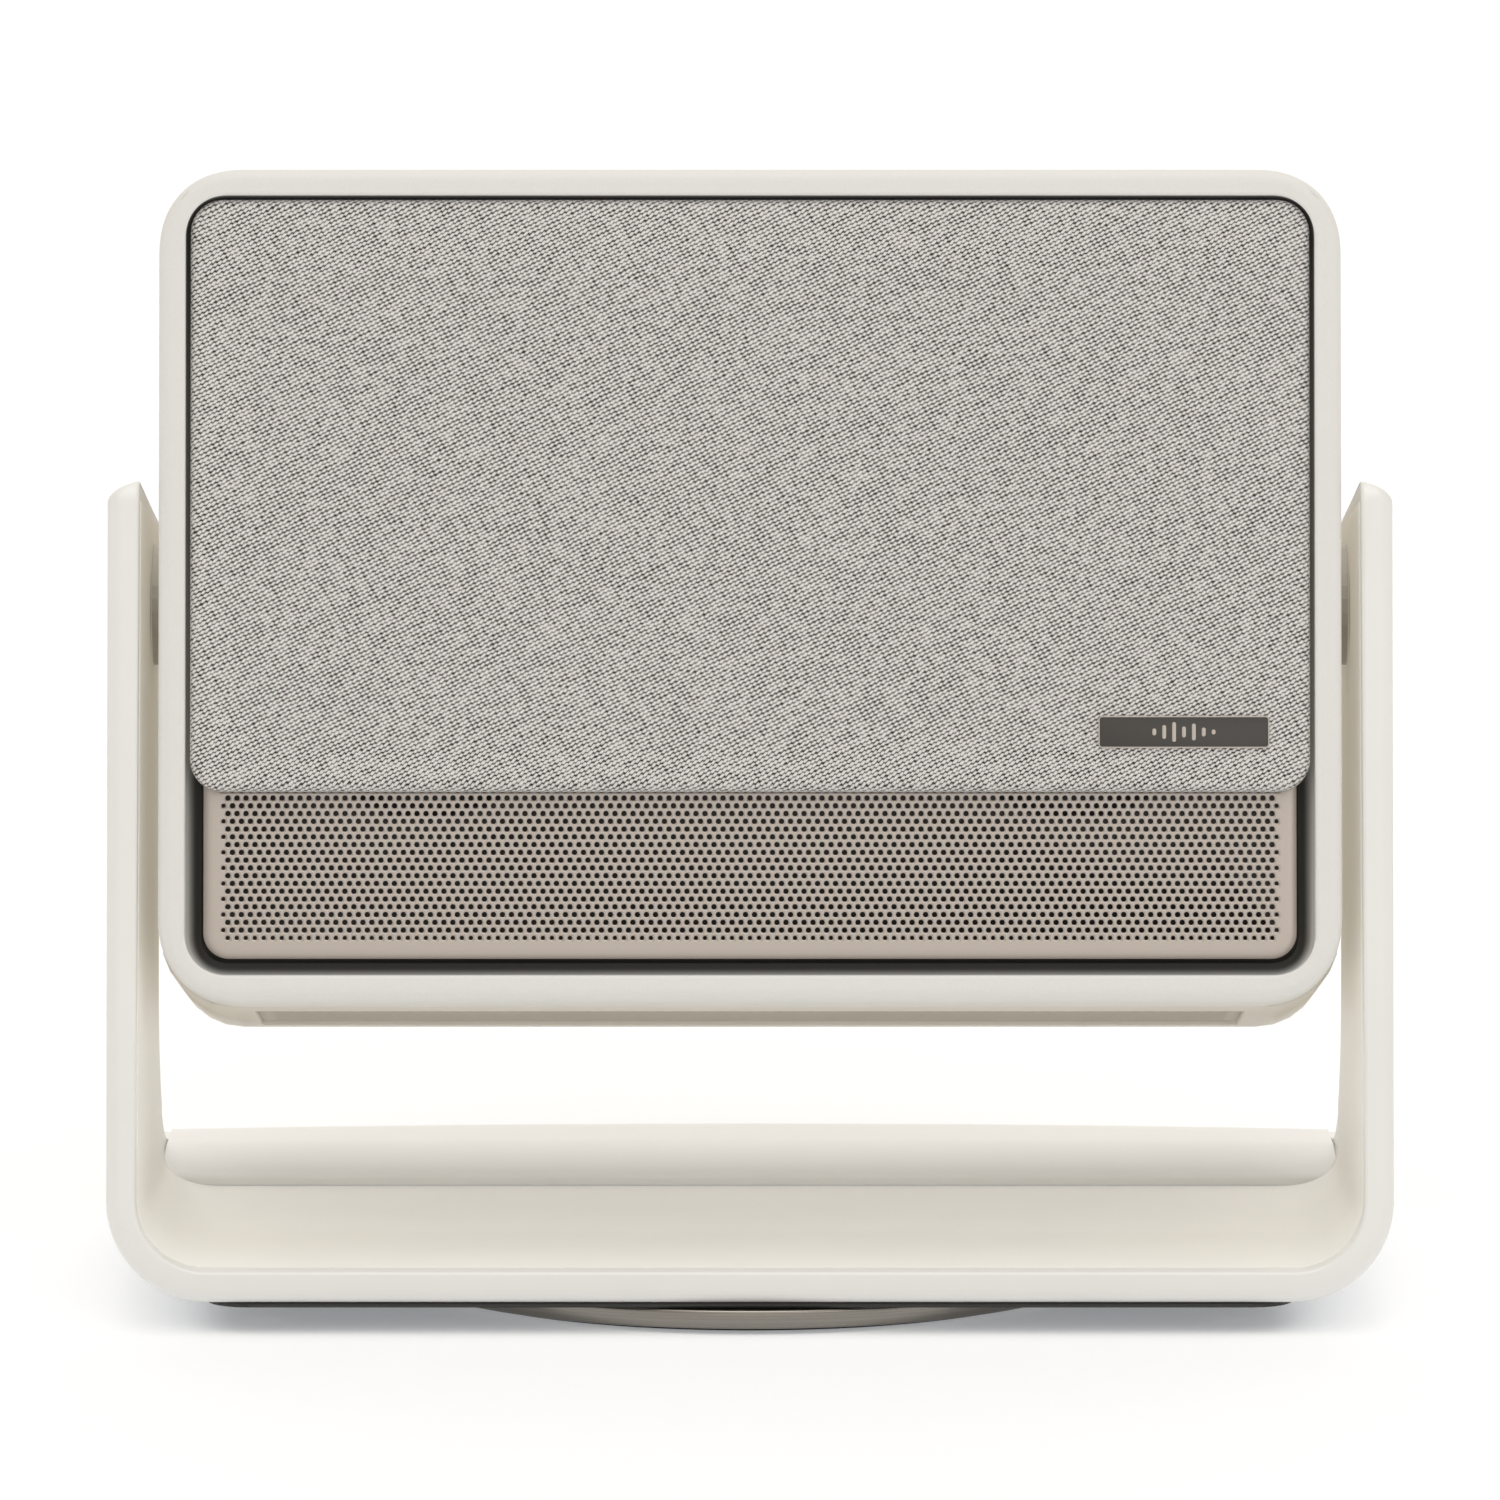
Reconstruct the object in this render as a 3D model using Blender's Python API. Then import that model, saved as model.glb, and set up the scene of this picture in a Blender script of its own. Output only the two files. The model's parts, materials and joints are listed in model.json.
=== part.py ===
"""Smart speaker projector: a loudspeaker and projector box tilting in a leaning U-shaped stand.

Sizes are in millimetres and become metres where a mesh or a place is made. The stand turns about Z over
the origin, which lies under the foot. The head has its own frame, centred on the tilt axis: X to the
right, Y towards the rear, Z up its leaning front, with its depths counted from the bezel's face.
"""
import math

import bmesh
import bpy
import numpy as np
from mathutils import Vector

MM = 0.001
GAP = 0.3                       # air kept between pieces that touch
ARC_STEPS = 6                   # facets in a quarter of a rounded corner
PLATE_STATIONS = 4              # sections of the stand's plate, and of its plate and corner together
CORNER_STATIONS = 13

# The stand
STAND_WIDTH = 273.6
ARM_THICKNESS = 6.2
ARM_TOP_SHOULDER = 3.8
ARM_DRAFT = 0.0165              # how much thicker the arm gets per millimetre of depth
PLATE_BOTTOM = 6.5
PLATE_THICKNESS = 6.9
PLATE_FRONT = -76.0
PLATE_REAR = 98.0
REAR_BULGE = 11.0
INNER_CORNER = 15.0
REAR_EDGE_HEIGHT = 11.3         # height of the stand's rear part over the plate's underside
LEAN = math.radians(11.1)
ARM_DEPTH = 95.4
ARM_OVER_PIVOT = 21.7
FRONT_EDGE_RADIUS = 3.2
INNER_EDGE_RADIUS = 0.8
REAR_EDGE_RADIUS = 2.2
ARM_BEHIND_FACE = 3.0           # the arms' front edges stand behind the bezel's face
SWEEP_TOP_UNDER_PIVOT = 73.0
SWEEP_SHARE = 0.24
TOP_FRONT_RADIUS = 4.0
TOP_REAR_RADIUS = 12.0
BALLAST_SIZE = (190.0, 26.0, 3.6)
BALLAST_FRONT = 56.0
SPINDLE_FLANGE_THICKNESS = 1.0
LINER_INSET = 6.0
LINER_GAP = 0.5                 # air between the liner and the cast skin, which is slightly twisted
LINER_THICKNESS = 0.6
HUMP_FOOT = 39.0
HUMP_HEIGHT = 6.4
HUMP_FOOT_ROUNDING = 11.0
HUMP_REAR_ROUNDING = 11.0
HUMP_EDGE = 1.0                 # the housing's upright edge, before its rounding starts

# The turntable
FOOT_RADIUS = 71.0
FOOT_THICKNESS = 0.9
DISC_RADIUS = 76.5
DISC_THICKNESS = 4.0
COVER_PLATE_THICKNESS = 0.7
COVER_PLATE_WIDTH = 231.0
SPINDLE_RADIUS = 5.0
SPINDLE_FLANGE = 14.0
BEARING_RADIUS = 24.0
BEARING_THICKNESS = 2.0
SCREW_HEAD = 2.4
SCREW_SHANK = 1.2

# The head
HEAD_WIDTH = 251.6
HEAD_HEIGHT = 177.6
HEAD_DEPTH = 129.0
HEAD_CORNER = 15.0
HEAD_FRONT = -64.0
PIVOT = Vector((0.0, 12.06, 145.0))
BEZEL_DEPTH = 22.0
BEZEL_FACE = 5.75
BEZEL_WALL = 6.3
BEZEL_LIP = 8.9                 # how far the mouth's deep edge reaches in from the head's outline
COVE_START = 6.8
COVE_DEPTH = 6.6
GRILLE_INSET = 9.5
GRILLE_RECESS = 6.6             # from the bezel's face back to the grille
SHELL_WALL = 2.4
SHELL_REAR_RADIUS = 8.0

# The sliding cover
COVER_CLEARANCE = 1.35
COVER_TOP_CLEARANCE = 1.1
COVER_HEIGHT = 125.4
COVER_CORNER = 6.5
COVER_RECESS = 1.4
CLOTH_THICKNESS = 1.5
TRAY_THICKNESS = 2.9
COVER_TRAVEL = 36.8
BADGE_SIZE = (36.3, 6.8)
BADGE_THICKNESS = 0.8
BADGE_INSET = (26.5, 12.1)      # from the cover's right and lower edges to the badge's centre

# Behind the cover
GRILLE_THICKNESS = 1.0
BAFFLE_FLANGE = 2.2             # thickness of the rim that the bezel clamps
LENS_RADIUS = 13.5
WINDOW_SIZE = (90.0, 26.0)
DRIVER_RADIUS = 31.0
DRIVER_X = 68.8
DRIVER_Z = -22.0
SPEAKER_BOX = (68.0, 76.0, 88.0)
MODULE = 1.0                    # of the cover's rack and pinion
PINION_TEETH = 15
PINION_X = 26.4
PINION_Z = 2.0
GEAR_WIDTH = 4.0
POST_HALF = 5.0                 # the carriage's post through the slot
CARRIAGE_HALF = 14.0
CARRIAGE_DEPTH = 7.0
CARRIAGE_LOW = 4.0
CARRIAGE_HIGH = 24.0
RAIL_RADIUS = 1.5
RAIL_X = 9.0
MOTOR_SHAFT = 1.2
SENSOR_RADIUS = 3.0
SENSOR_X = 58.0
ENGINE_FRONT = -26.0
ENGINE_REAR = 30.0
BOARD_Z = -80.0
BOARD_THICKNESS = 1.6
PORT_PLATE = (124.0, 22.0)
PORT_X = -6.0
PORT_Z = -70.0
VENT_SIZE = (213.0, 66.5)
VENT_FRONT = -19.5
BUTTON_RADIUS = 6.0
BUTTON_X = 60.0
BUTTON_Y = 10.0
FAN_SIZE = 60.0
FAN_THICKNESS = 16.0
FAN_X = 78.0
FAN_Z = 48.0

# The tilt hinges
SHAFT_RADIUS = 6.0
FLANGE_RADIUS = 15.0
FLANGE_THICKNESS = 3.0
HINGE_REACH = 22.0

# Worked out from the sizes above
PLATE_TOP = PLATE_BOTTOM + PLATE_THICKNESS
INNER_HALF = STAND_WIDTH / 2 - ARM_THICKNESS
CORNER_X = INNER_HALF - INNER_CORNER
REAR_TOP = PLATE_BOTTOM + REAR_EDGE_HEIGHT
BEARING_POCKET_TOP = PLATE_TOP - 1.1
DISC_BOTTOM = FOOT_THICKNESS + GAP
DISC_TOP = DISC_BOTTOM + DISC_THICKNESS
GRILLE_FRONT = HEAD_FRONT + GRILLE_RECESS
GRILLE_HALF = HEAD_WIDTH / 2 - GRILLE_INSET
GRILLE_HALF_HEIGHT = HEAD_HEIGHT / 2 - GRILLE_INSET
GRILLE_CORNER = HEAD_CORNER - GRILLE_INSET
BAFFLE_FRONT = GRILLE_FRONT + GRILLE_THICKNESS + GAP
FLANGE_FRONT = HEAD_FRONT + COVE_START + COVE_DEPTH + GAP
BAFFLE_REAR = FLANGE_FRONT + BAFFLE_FLANGE
COVER_HALF = HEAD_WIDTH / 2 - BEZEL_FACE - COVER_CLEARANCE
COVER_TOP = HEAD_HEIGHT / 2 - BEZEL_FACE - COVER_TOP_CLEARANCE
COVER_MIDDLE = COVER_TOP - COVER_HEIGHT / 2
CLOTH_FRONT = HEAD_FRONT + COVER_RECESS
TRAY_FRONT = CLOTH_FRONT + CLOTH_THICKNESS + GAP
STRIP_FOOT = COVER_TOP - COVER_TRAVEL + 0.4
LENS_Z = (STRIP_FOOT + GRILLE_HALF_HEIGHT) / 2
RAIL_Y = BAFFLE_REAR + GAP + CARRIAGE_DEPTH / 2
RACK_FRONT = BAFFLE_REAR + GAP + 2.4
SHELL_FRONT = HEAD_FRONT + BEZEL_DEPTH + GAP
SHELL_REAR = HEAD_FRONT + HEAD_DEPTH
SHELL_HALF = HEAD_WIDTH / 2 - SHELL_WALL
SHELL_HALF_HEIGHT = HEAD_HEIGHT / 2 - SHELL_WALL


# ---------------------------------------------------------------- modelling helpers

def clear_scene():
    for item in list(bpy.data.objects):
        bpy.data.objects.remove(item, do_unlink=True)


def material(name, colour, roughness, metallic=0.0):
    """One Principled material, made once for each name."""
    made = bpy.data.materials.get(name)
    if made is None:
        made = bpy.data.materials.new(name)
        made.use_nodes = True
        shader = made.node_tree.nodes["Principled BSDF"]
        shader.inputs["Base Color"].default_value = (*colour, 1.0)
        shader.inputs["Roughness"].default_value = roughness
        shader.inputs["Metallic"].default_value = metallic
        made.diffuse_color = (*colour, 1.0)
    return made


def shell_plastic():
    return material("shell plastic", (0.80, 0.78, 0.73), 0.5)


def dark_plastic():
    return material("dark plastic", (0.05, 0.047, 0.042), 0.6)


def steel():
    return material("steel", (0.55, 0.55, 0.56), 0.35, 1.0)


def copper_board():
    return material("circuit board", (0.02, 0.16, 0.08), 0.55)


def add_object(name, mesh_data, finish, parent=None):
    """Link a mesh that is written in millimetres as an object in metres, turned smooth where it is round."""
    mesh = bpy.data.meshes.new(name)
    mesh_data.normal_update()
    bmesh.ops.recalc_face_normals(mesh_data, faces=mesh_data.faces)
    bmesh.ops.scale(mesh_data, vec=(MM, MM, MM), verts=mesh_data.verts)
    mesh_data.to_mesh(mesh)
    mesh_data.free()
    mesh.shade_smooth()
    mesh.set_sharp_from_angle(angle=math.radians(35))
    mesh.materials.append(finish)
    made = bpy.data.objects.new(name, mesh)
    bpy.context.scene.collection.objects.link(made)
    made.parent = parent
    return made


def add_empty(name, place, lean=0.0, parent=None):
    """A frame for a moving body, in millimetres from its parent."""
    made = bpy.data.objects.new(name, None)
    made.location = Vector(place) * MM
    made.rotation_euler.x = -lean
    made.parent = parent
    bpy.context.scene.collection.objects.link(made)
    return made


def rounded_outline(half_width, half_height, radius, centre=(0.0, 0.0), steps=ARC_STEPS):
    """A rectangle with round corners, anticlockwise from its right side."""
    points = []
    for number, (side_x, side_z) in enumerate([(1, 1), (-1, 1), (-1, -1), (1, -1)]):
        for step in range(steps + 1):
            angle = math.radians(90) * (number + step / steps)
            points.append((centre[0] + side_x * (half_width - radius) + radius * math.cos(angle),
                           centre[1] + side_z * (half_height - radius) + radius * math.sin(angle)))
    return points


def circle_outline(radius, centre=(0.0, 0.0), steps=24):
    return [(centre[0] + radius * math.cos(math.tau * step / steps),
             centre[1] + radius * math.sin(math.tau * step / steps)) for step in range(steps)]


def loft(rings, loop=False):
    """Skin rings with equal numbers of points; the ends are capped, or joined to each other in a loop."""
    data = bmesh.new()
    rows = [[data.verts.new(point) for point in ring] for ring in rings]
    pairs = list(zip(rows, rows[1:]))
    if loop:
        pairs.append((rows[-1], rows[0]))
    else:
        data.faces.new(rows[0])
        data.faces.new(list(reversed(rows[-1])))
    for first, second in pairs:
        for index in range(len(first)):
            after = (index + 1) % len(first)
            data.faces.new([first[index], second[index], second[after], first[after]])
    return data


def slab(outline, start, end, axis="Y"):
    """An outline extruded along one axis: (x, z) along Y, (x, y) along Z or (y, z) along X."""
    if axis == "Y":
        rings = [[(a, depth, b) for a, b in outline] for depth in (start, end)]
    elif axis == "Z":
        rings = [[(a, b, height) for a, b in outline] for height in (start, end)]
    else:
        rings = [[(across, a, b) for a, b in outline] for across in (start, end)]
    return loft(rings)


def box(low, high):
    """A plain box between two corners."""
    outline = [(low[0], low[1]), (high[0], low[1]), (high[0], high[1]), (low[0], high[1])]
    return slab(outline, low[2], high[2], "Z")


def turned(profile, axis="Z", centre=(0.0, 0.0, 0.0), steps=24):
    """A closed (radius, height) profile turned about an axis; a profile off the axis makes a ring."""
    rings = []
    for step in range(steps):
        angle = math.tau * step / steps
        ring = []
        for radius, along in profile:
            a, b = radius * math.cos(angle), radius * math.sin(angle)
            point = {"Z": (a, b, along), "Y": (a, along, b), "X": (along, a, b)}[axis]
            ring.append(tuple(place + offset for place, offset in zip(centre, point)))
        rings.append(ring)
    data = loft(rings, loop=True)
    bmesh.ops.remove_doubles(data, verts=data.verts, dist=1e-5)
    return data


def disc(radius, start, end, axis="Z", centre=(0.0, 0.0), steps=24):
    """A solid round bar between two places on its axis."""
    return slab(circle_outline(radius, centre, steps), start, end, axis)


def cut(target, cutter_data):
    """Take a shape away from an object."""
    cutter = add_object(target.name + "_cutter", cutter_data, dark_plastic(), target.parent)
    cutter.hide_render = True
    cutter.display_type = "WIRE"
    change = target.modifiers.new("cut", "BOOLEAN")
    change.operation = "DIFFERENCE"
    change.object = cutter
    return cutter


def join(target, other_data):
    """Add a shape to an object as one body."""
    other = add_object(target.name + "_guide", other_data, dark_plastic(), target.parent)
    other.hide_render = True
    other.display_type = "WIRE"
    change = target.modifiers.new("join", "BOOLEAN")
    change.operation = "UNION"
    change.object = other
    return other


# ---------------------------------------------------------------- the stand

def plate_rear(x):
    """The stand's rear edge bulges backwards in the middle."""
    return PLATE_REAR - REAR_BULGE * (x / (STAND_WIDTH / 2)) ** 2


def head_to_world(y, z):
    """A point of the head's own side view, in the stand's side view."""
    return (PIVOT.y + y * math.cos(LEAN) + z * math.sin(LEAN),
            PIVOT.z - y * math.sin(LEAN) + z * math.cos(LEAN))


def arm_rear_edge(share):
    """The arm's rear edge: a concave sweep up from the stand's rear end, then a leaning straight."""
    arm_rear = HEAD_FRONT + ARM_BEHIND_FACE + ARM_DEPTH
    top = np.array(head_to_world(arm_rear, ARM_OVER_PIVOT))
    knee = np.array(head_to_world(arm_rear, -SWEEP_TOP_UNDER_PIVOT))
    start = np.array((plate_rear(STAND_WIDTH / 2), REAR_TOP))
    if share >= SWEEP_SHARE:
        return knee + (top - knee) * (share - SWEEP_SHARE) / (1 - SWEEP_SHARE)
    t = share / SWEEP_SHARE
    pull = (start[0] - 0.8 * (start[0] - knee[0]), REAR_TOP)
    lift = knee - (top - knee) * 0.3
    return ((1 - t) ** 3 * start + 3 * (1 - t) ** 2 * t * np.array(pull)
            + 3 * (1 - t) * t ** 2 * lift + t ** 3 * knee)


def top_fade(below_top, radius):
    """How far a rounded edge of a radius has drawn in at a distance below the top."""
    if below_top >= radius:
        return 0.0
    return radius - math.sqrt(radius ** 2 - (radius - below_top) ** 2)


def band_station(angle, x, z, front, rear, rear_inner_z, rear_outer_z, below_top):
    """One place along the right half of the U: its inner skin's front point, its normal and its edges."""
    normal = (math.sin(angle), -math.cos(angle))
    thickness = PLATE_THICKNESS + (ARM_THICKNESS - PLATE_THICKNESS) * angle / (math.pi / 2)
    return {"normal": normal, "inner": (x, z), "thickness": thickness, "front": front, "rear": rear,
            "outer": (x + thickness * normal[0], z + thickness * normal[1]),
            "rear_inner_z": rear_inner_z, "rear_outer_z": rear_outer_z, "below_top": below_top}


def band_stations():
    """The right half of the U from the middle of the plate, round the corner and up the arm."""
    stations = []
    for x in np.linspace(0.0, CORNER_X, PLATE_STATIONS + 1)[:-1]:
        stations.append(band_station(0.0, x, PLATE_TOP, PLATE_FRONT, plate_rear(x), PLATE_TOP, PLATE_BOTTOM,
                                     99.0))
    for angle in np.linspace(0.0, math.pi / 2, CORNER_STATIONS - PLATE_STATIONS):
        x = CORNER_X + INNER_CORNER * math.sin(angle)
        rise = 1 - math.cos(angle)
        z = PLATE_TOP + INNER_CORNER * rise
        front = PLATE_FRONT + (z - PLATE_TOP) * math.tan(LEAN)
        stations.append(band_station(angle, x, z, front, plate_rear(x),
                                     PLATE_TOP + (REAR_TOP - PLATE_TOP) * rise,
                                     PLATE_BOTTOM + (REAR_TOP - PLATE_BOTTOM) * rise, 99.0))
    foot = PLATE_TOP + INNER_CORNER
    height = head_to_world(HEAD_FRONT + ARM_BEHIND_FACE, ARM_OVER_PIVOT)[1] - foot
    levels = [level for level in np.linspace(0.0, height, 24)[1:] if level < height - 15.0]
    levels += [height - below for below in (12.0, 8.0, 5.2, 3.2, 1.7, 0.7, 0.2, 0.0)]
    for level in levels:
        below_top = height - level
        rear, rear_z = arm_rear_edge(level / height)
        z = foot + level
        front = PLATE_FRONT + (z - PLATE_TOP) * math.tan(LEAN)
        stations.append(band_station(math.pi / 2, INNER_HALF, z,
                                     front + top_fade(below_top, TOP_FRONT_RADIUS),
                                     rear - top_fade(below_top, TOP_REAR_RADIUS), rear_z, rear_z, below_top))
    return stations


def band_point(station, depth, inward):
    """A point at a world depth, inward of the inner skin or, where inward is negative, within the wall.

    The inner skin draws inwards with depth by the arm's draft; the outer skin doesn't.
    """
    share = (depth - station["front"]) / (station["rear"] - station["front"])
    draft = ARM_DRAFT * (depth - PLATE_FRONT) * station["normal"][0]
    inner = (station["inner"][0] - draft * station["normal"][0],
             (1 - share) * station["inner"][1] + share * station["rear_inner_z"])
    if inward >= 0:
        return (inner[0] - inward * station["normal"][0], depth, inner[1] - inward * station["normal"][1])
    across = -inward / station["thickness"]
    outer = (station["outer"][0], (1 - share) * station["outer"][1] + share * station["rear_outer_z"])
    return ((1 - across) * inner[0] + across * outer[0], depth, (1 - across) * inner[1] + across * outer[1])


def band_ring(station, front, rear, low, high, radii, steps=3):
    """A closed section between two depths and two inward distances, with rounded corners."""
    ring = []
    corners = [(radii[0], 0, 0), (radii[1], 0, 1), (radii[2], 1, 1), (radii[2], 1, 0)]
    for number, (radius, at_rear, at_high) in enumerate(corners):
        radius = min(radius, (high - low) * 0.48)
        for step in range(steps + 1):
            angle = math.radians(90) * step / steps
            if number % 2:
                angle = math.radians(90) - angle
            along = radius * (1 - math.sin(angle))
            across = radius * (1 - math.cos(angle))
            ring.append(band_point(station, rear - along if at_rear else front + along,
                                   high - across if at_high else low + across))
    return ring


def both_halves(half):
    """The right half's sections and their mirror images, from the left end to the right end."""
    return [[(-x, y, z) for x, y, z in ring] for ring in reversed(half[1:])] + half


def make_yoke_frame(parent):
    """The die-cast U: leaning arms, plate, a pocket for the bearing and one for each hinge flange."""
    half = []
    for station in band_stations():
        shoulder = top_fade(station["below_top"] * ARM_THICKNESS / ARM_TOP_SHOULDER, ARM_THICKNESS)
        low = -station["thickness"] + min(shoulder, station["thickness"] - 1.2)
        half.append(band_ring(station, station["front"], station["rear"], low, 0.0,
                              (FRONT_EDGE_RADIUS, INNER_EDGE_RADIUS, REAR_EDGE_RADIUS)))
    finish = material("stand enamel", (0.86, 0.85, 0.83), 0.38)
    frame = add_object("yoke_frame", loft(both_halves(half)), finish, parent)
    cut(frame, disc(BEARING_RADIUS + GAP, PLATE_BOTTOM - 1.0, BEARING_POCKET_TOP))
    for side in (-1, 1):
        wall = side * (INNER_HALF - ARM_DRAFT * (PIVOT.y - PLATE_FRONT))
        cut(frame, disc(FLANGE_RADIUS + GAP, wall + side * (FLANGE_THICKNESS + GAP), wall - side * 3.0, "X",
                        (PIVOT.y, PIVOT.z)))
    for x, y in screw_places():
        cut(frame, disc(SCREW_SHANK + GAP, PLATE_BOTTOM - 1.0, PLATE_TOP - 1.2, centre=(x, y), steps=12))
    return frame


def make_yoke_liner(parent):
    """The thin trim sheet that lines the inside of the U, a little behind its front edge."""
    half = []
    for station in band_stations():
        if station["below_top"] < 3.0:
            continue
        front = station["front"] + LINER_INSET
        rear = min(HUMP_FOOT - 2 * GAP, station["rear"] - 3.0)
        half.append(band_ring(station, front, rear, LINER_GAP, LINER_GAP + LINER_THICKNESS,
                              (0.2, 0.2, 0.2), 1))
    liner = add_object("yoke_liner", loft(both_halves(half)), material("liner", (0.84, 0.83, 0.80), 0.5),
                       parent)
    for side in (-1, 1):
        cut(liner, disc(FLANGE_RADIUS + 2 * GAP, side * (INNER_HALF - 6.0), side * (INNER_HALF + 3.0), "X",
                        (PIVOT.y, PIVOT.z)))
    return liner


def hump_section(share, corner_stations):
    """The rear housing's section at a share of its depth: a flat pillow lying in the U's round corners."""
    length = PLATE_REAR - 2.0 - HUMP_FOOT
    rise = min(1.0, share * length / HUMP_FOOT_ROUNDING)
    fall = min(1.0, (1 - share) * length / HUMP_REAR_ROUNDING)
    rounding = math.sqrt(1 - (1 - rise) ** 2) * math.sqrt(1 - (1 - fall) ** 2)
    height = HUMP_EDGE + (HUMP_HEIGHT - HUMP_EDGE) * rounding
    bed = [band_point(station, HUMP_FOOT + share * length, 0.0) for station in corner_stations]
    bed_x, bed_z = [point[0] for point in bed], [point[2] + GAP for point in bed]
    half_width = np.interp(PLATE_TOP + GAP + height - 0.8, bed_z, bed_x) - 3 * GAP
    top, floor = [], []
    for x in np.sin(np.linspace(-math.pi / 2, math.pi / 2, 25)) * half_width:
        low = np.interp(abs(x) + 2 * GAP, bed_x, bed_z)
        y = HUMP_FOOT + share * (plate_rear(x) - 2.0 - HUMP_FOOT)
        floor.append((x, y, low))
        top.append((x, y, max(PLATE_TOP + GAP + height * (1 - 0.3 * (abs(x) / half_width) ** 24),
                              low + 0.5)))
    return top + floor[::-1]


def make_rear_housing(parent):
    """The low cover across the rear of the plate, hollow underneath for the ballast weight."""
    shares = 0.5 - 0.5 * np.cos(np.linspace(0.0, math.pi, 15))
    corner_stations = band_stations()[:CORNER_STATIONS]
    housing = add_object("rear_housing", loft([hump_section(share, corner_stations) for share in shares]),
                         material("stand enamel", (0.86, 0.85, 0.83), 0.38), parent)
    cut(housing, box((-BALLAST_SIZE[0] / 2 - GAP, BALLAST_FRONT - GAP, PLATE_TOP - 1.0),
                     (BALLAST_SIZE[0] / 2 + GAP, BALLAST_FRONT + BALLAST_SIZE[1] + GAP,
                      PLATE_TOP + GAP + BALLAST_SIZE[2] + GAP)))
    ballast = box((-BALLAST_SIZE[0] / 2, BALLAST_FRONT, PLATE_TOP + GAP),
                  (BALLAST_SIZE[0] / 2, BALLAST_FRONT + BALLAST_SIZE[1], PLATE_TOP + GAP + BALLAST_SIZE[2]))
    add_object("ballast_weight", ballast, steel(), parent)


def screw_places():
    """The four screws that hold the bottom cover."""
    return [(side * (COVER_PLATE_WIDTH / 2 - 12.0), depth) for side in (-1, 1) for depth in (-58.0, 62.0)]


def make_bottom_cover(parent):
    """The dark cover under the plate, with its four screws flush in it."""
    top = PLATE_BOTTOM - GAP
    low = top - COVER_PLATE_THICKNESS
    outline = rounded_outline(COVER_PLATE_WIDTH / 2, (plate_rear(COVER_PLATE_WIDTH / 2) - PLATE_FRONT) / 2
                              - 2.0, 9.0,
                              (0.0, (plate_rear(COVER_PLATE_WIDTH / 2) + PLATE_FRONT) / 2))
    cover = add_object("bottom_cover", slab(outline, low, top, "Z"), dark_plastic(), parent)
    cut(cover, disc(BEARING_RADIUS + 2.0, low - 1.0, top + 1.0))
    for number, (x, y) in enumerate(screw_places(), 1):
        cut(cover, disc(SCREW_HEAD + GAP, low - 1.0, top + 1.0, centre=(x, y), steps=16))
        profile = [(0.0, low), (SCREW_HEAD, low), (SCREW_HEAD, top), (SCREW_SHANK, top),
                   (SCREW_SHANK, PLATE_TOP - 2.0), (0.0, PLATE_TOP - 2.0)]
        add_object(f"cover_screw_{number}", turned(profile, "Z", (x, y, 0.0), 12), steel(), parent)


def make_turntable(base, yoke):
    """The foot, the disc and the spindle on which the whole stand turns, held up by the bearing plate."""
    add_object("foot_pad", disc(FOOT_RADIUS, 0.0, FOOT_THICKNESS, steps=64),
               material("foot rubber", (0.03, 0.03, 0.03), 0.85), base)
    edge = 0.5
    profile = [(0.0, DISC_BOTTOM), (DISC_RADIUS - edge, DISC_BOTTOM), (DISC_RADIUS, DISC_BOTTOM + edge),
               (DISC_RADIUS, DISC_TOP - edge), (DISC_RADIUS - edge, DISC_TOP), (0.0, DISC_TOP)]
    add_object("base_disc", turned(profile, steps=64), material("brushed nickel", (0.33, 0.30, 0.26), 0.32,
                                                                1.0), base)
    flange_top = DISC_TOP + GAP + SPINDLE_FLANGE_THICKNESS
    spindle = [(0.0, DISC_TOP + GAP), (SPINDLE_FLANGE, DISC_TOP + GAP), (SPINDLE_FLANGE, flange_top),
               (SPINDLE_RADIUS, flange_top), (SPINDLE_RADIUS, BEARING_POCKET_TOP - 0.5),
               (0.0, BEARING_POCKET_TOP - 0.5)]
    add_object("turntable_spindle", turned(spindle), steel(), base)
    bearing_low = flange_top + GAP
    bearing_top = bearing_low + BEARING_THICKNESS
    bore = SPINDLE_RADIUS + GAP
    bearing = [(bore, bearing_low), (BEARING_RADIUS, bearing_low), (BEARING_RADIUS, bearing_top),
               (bore, bearing_top)]
    add_object("bearing_plate", turned(bearing, steps=32), steel(), yoke)
    ring = [(bore, bearing_top + GAP), (SPINDLE_RADIUS + 7.0, bearing_top + GAP),
            (SPINDLE_RADIUS + 7.0, bearing_top + GAP + 1.0), (bore, bearing_top + GAP + 1.0)]
    add_object("retaining_ring", turned(ring), steel(), base)


# ---------------------------------------------------------------- the tilt hinges

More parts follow.
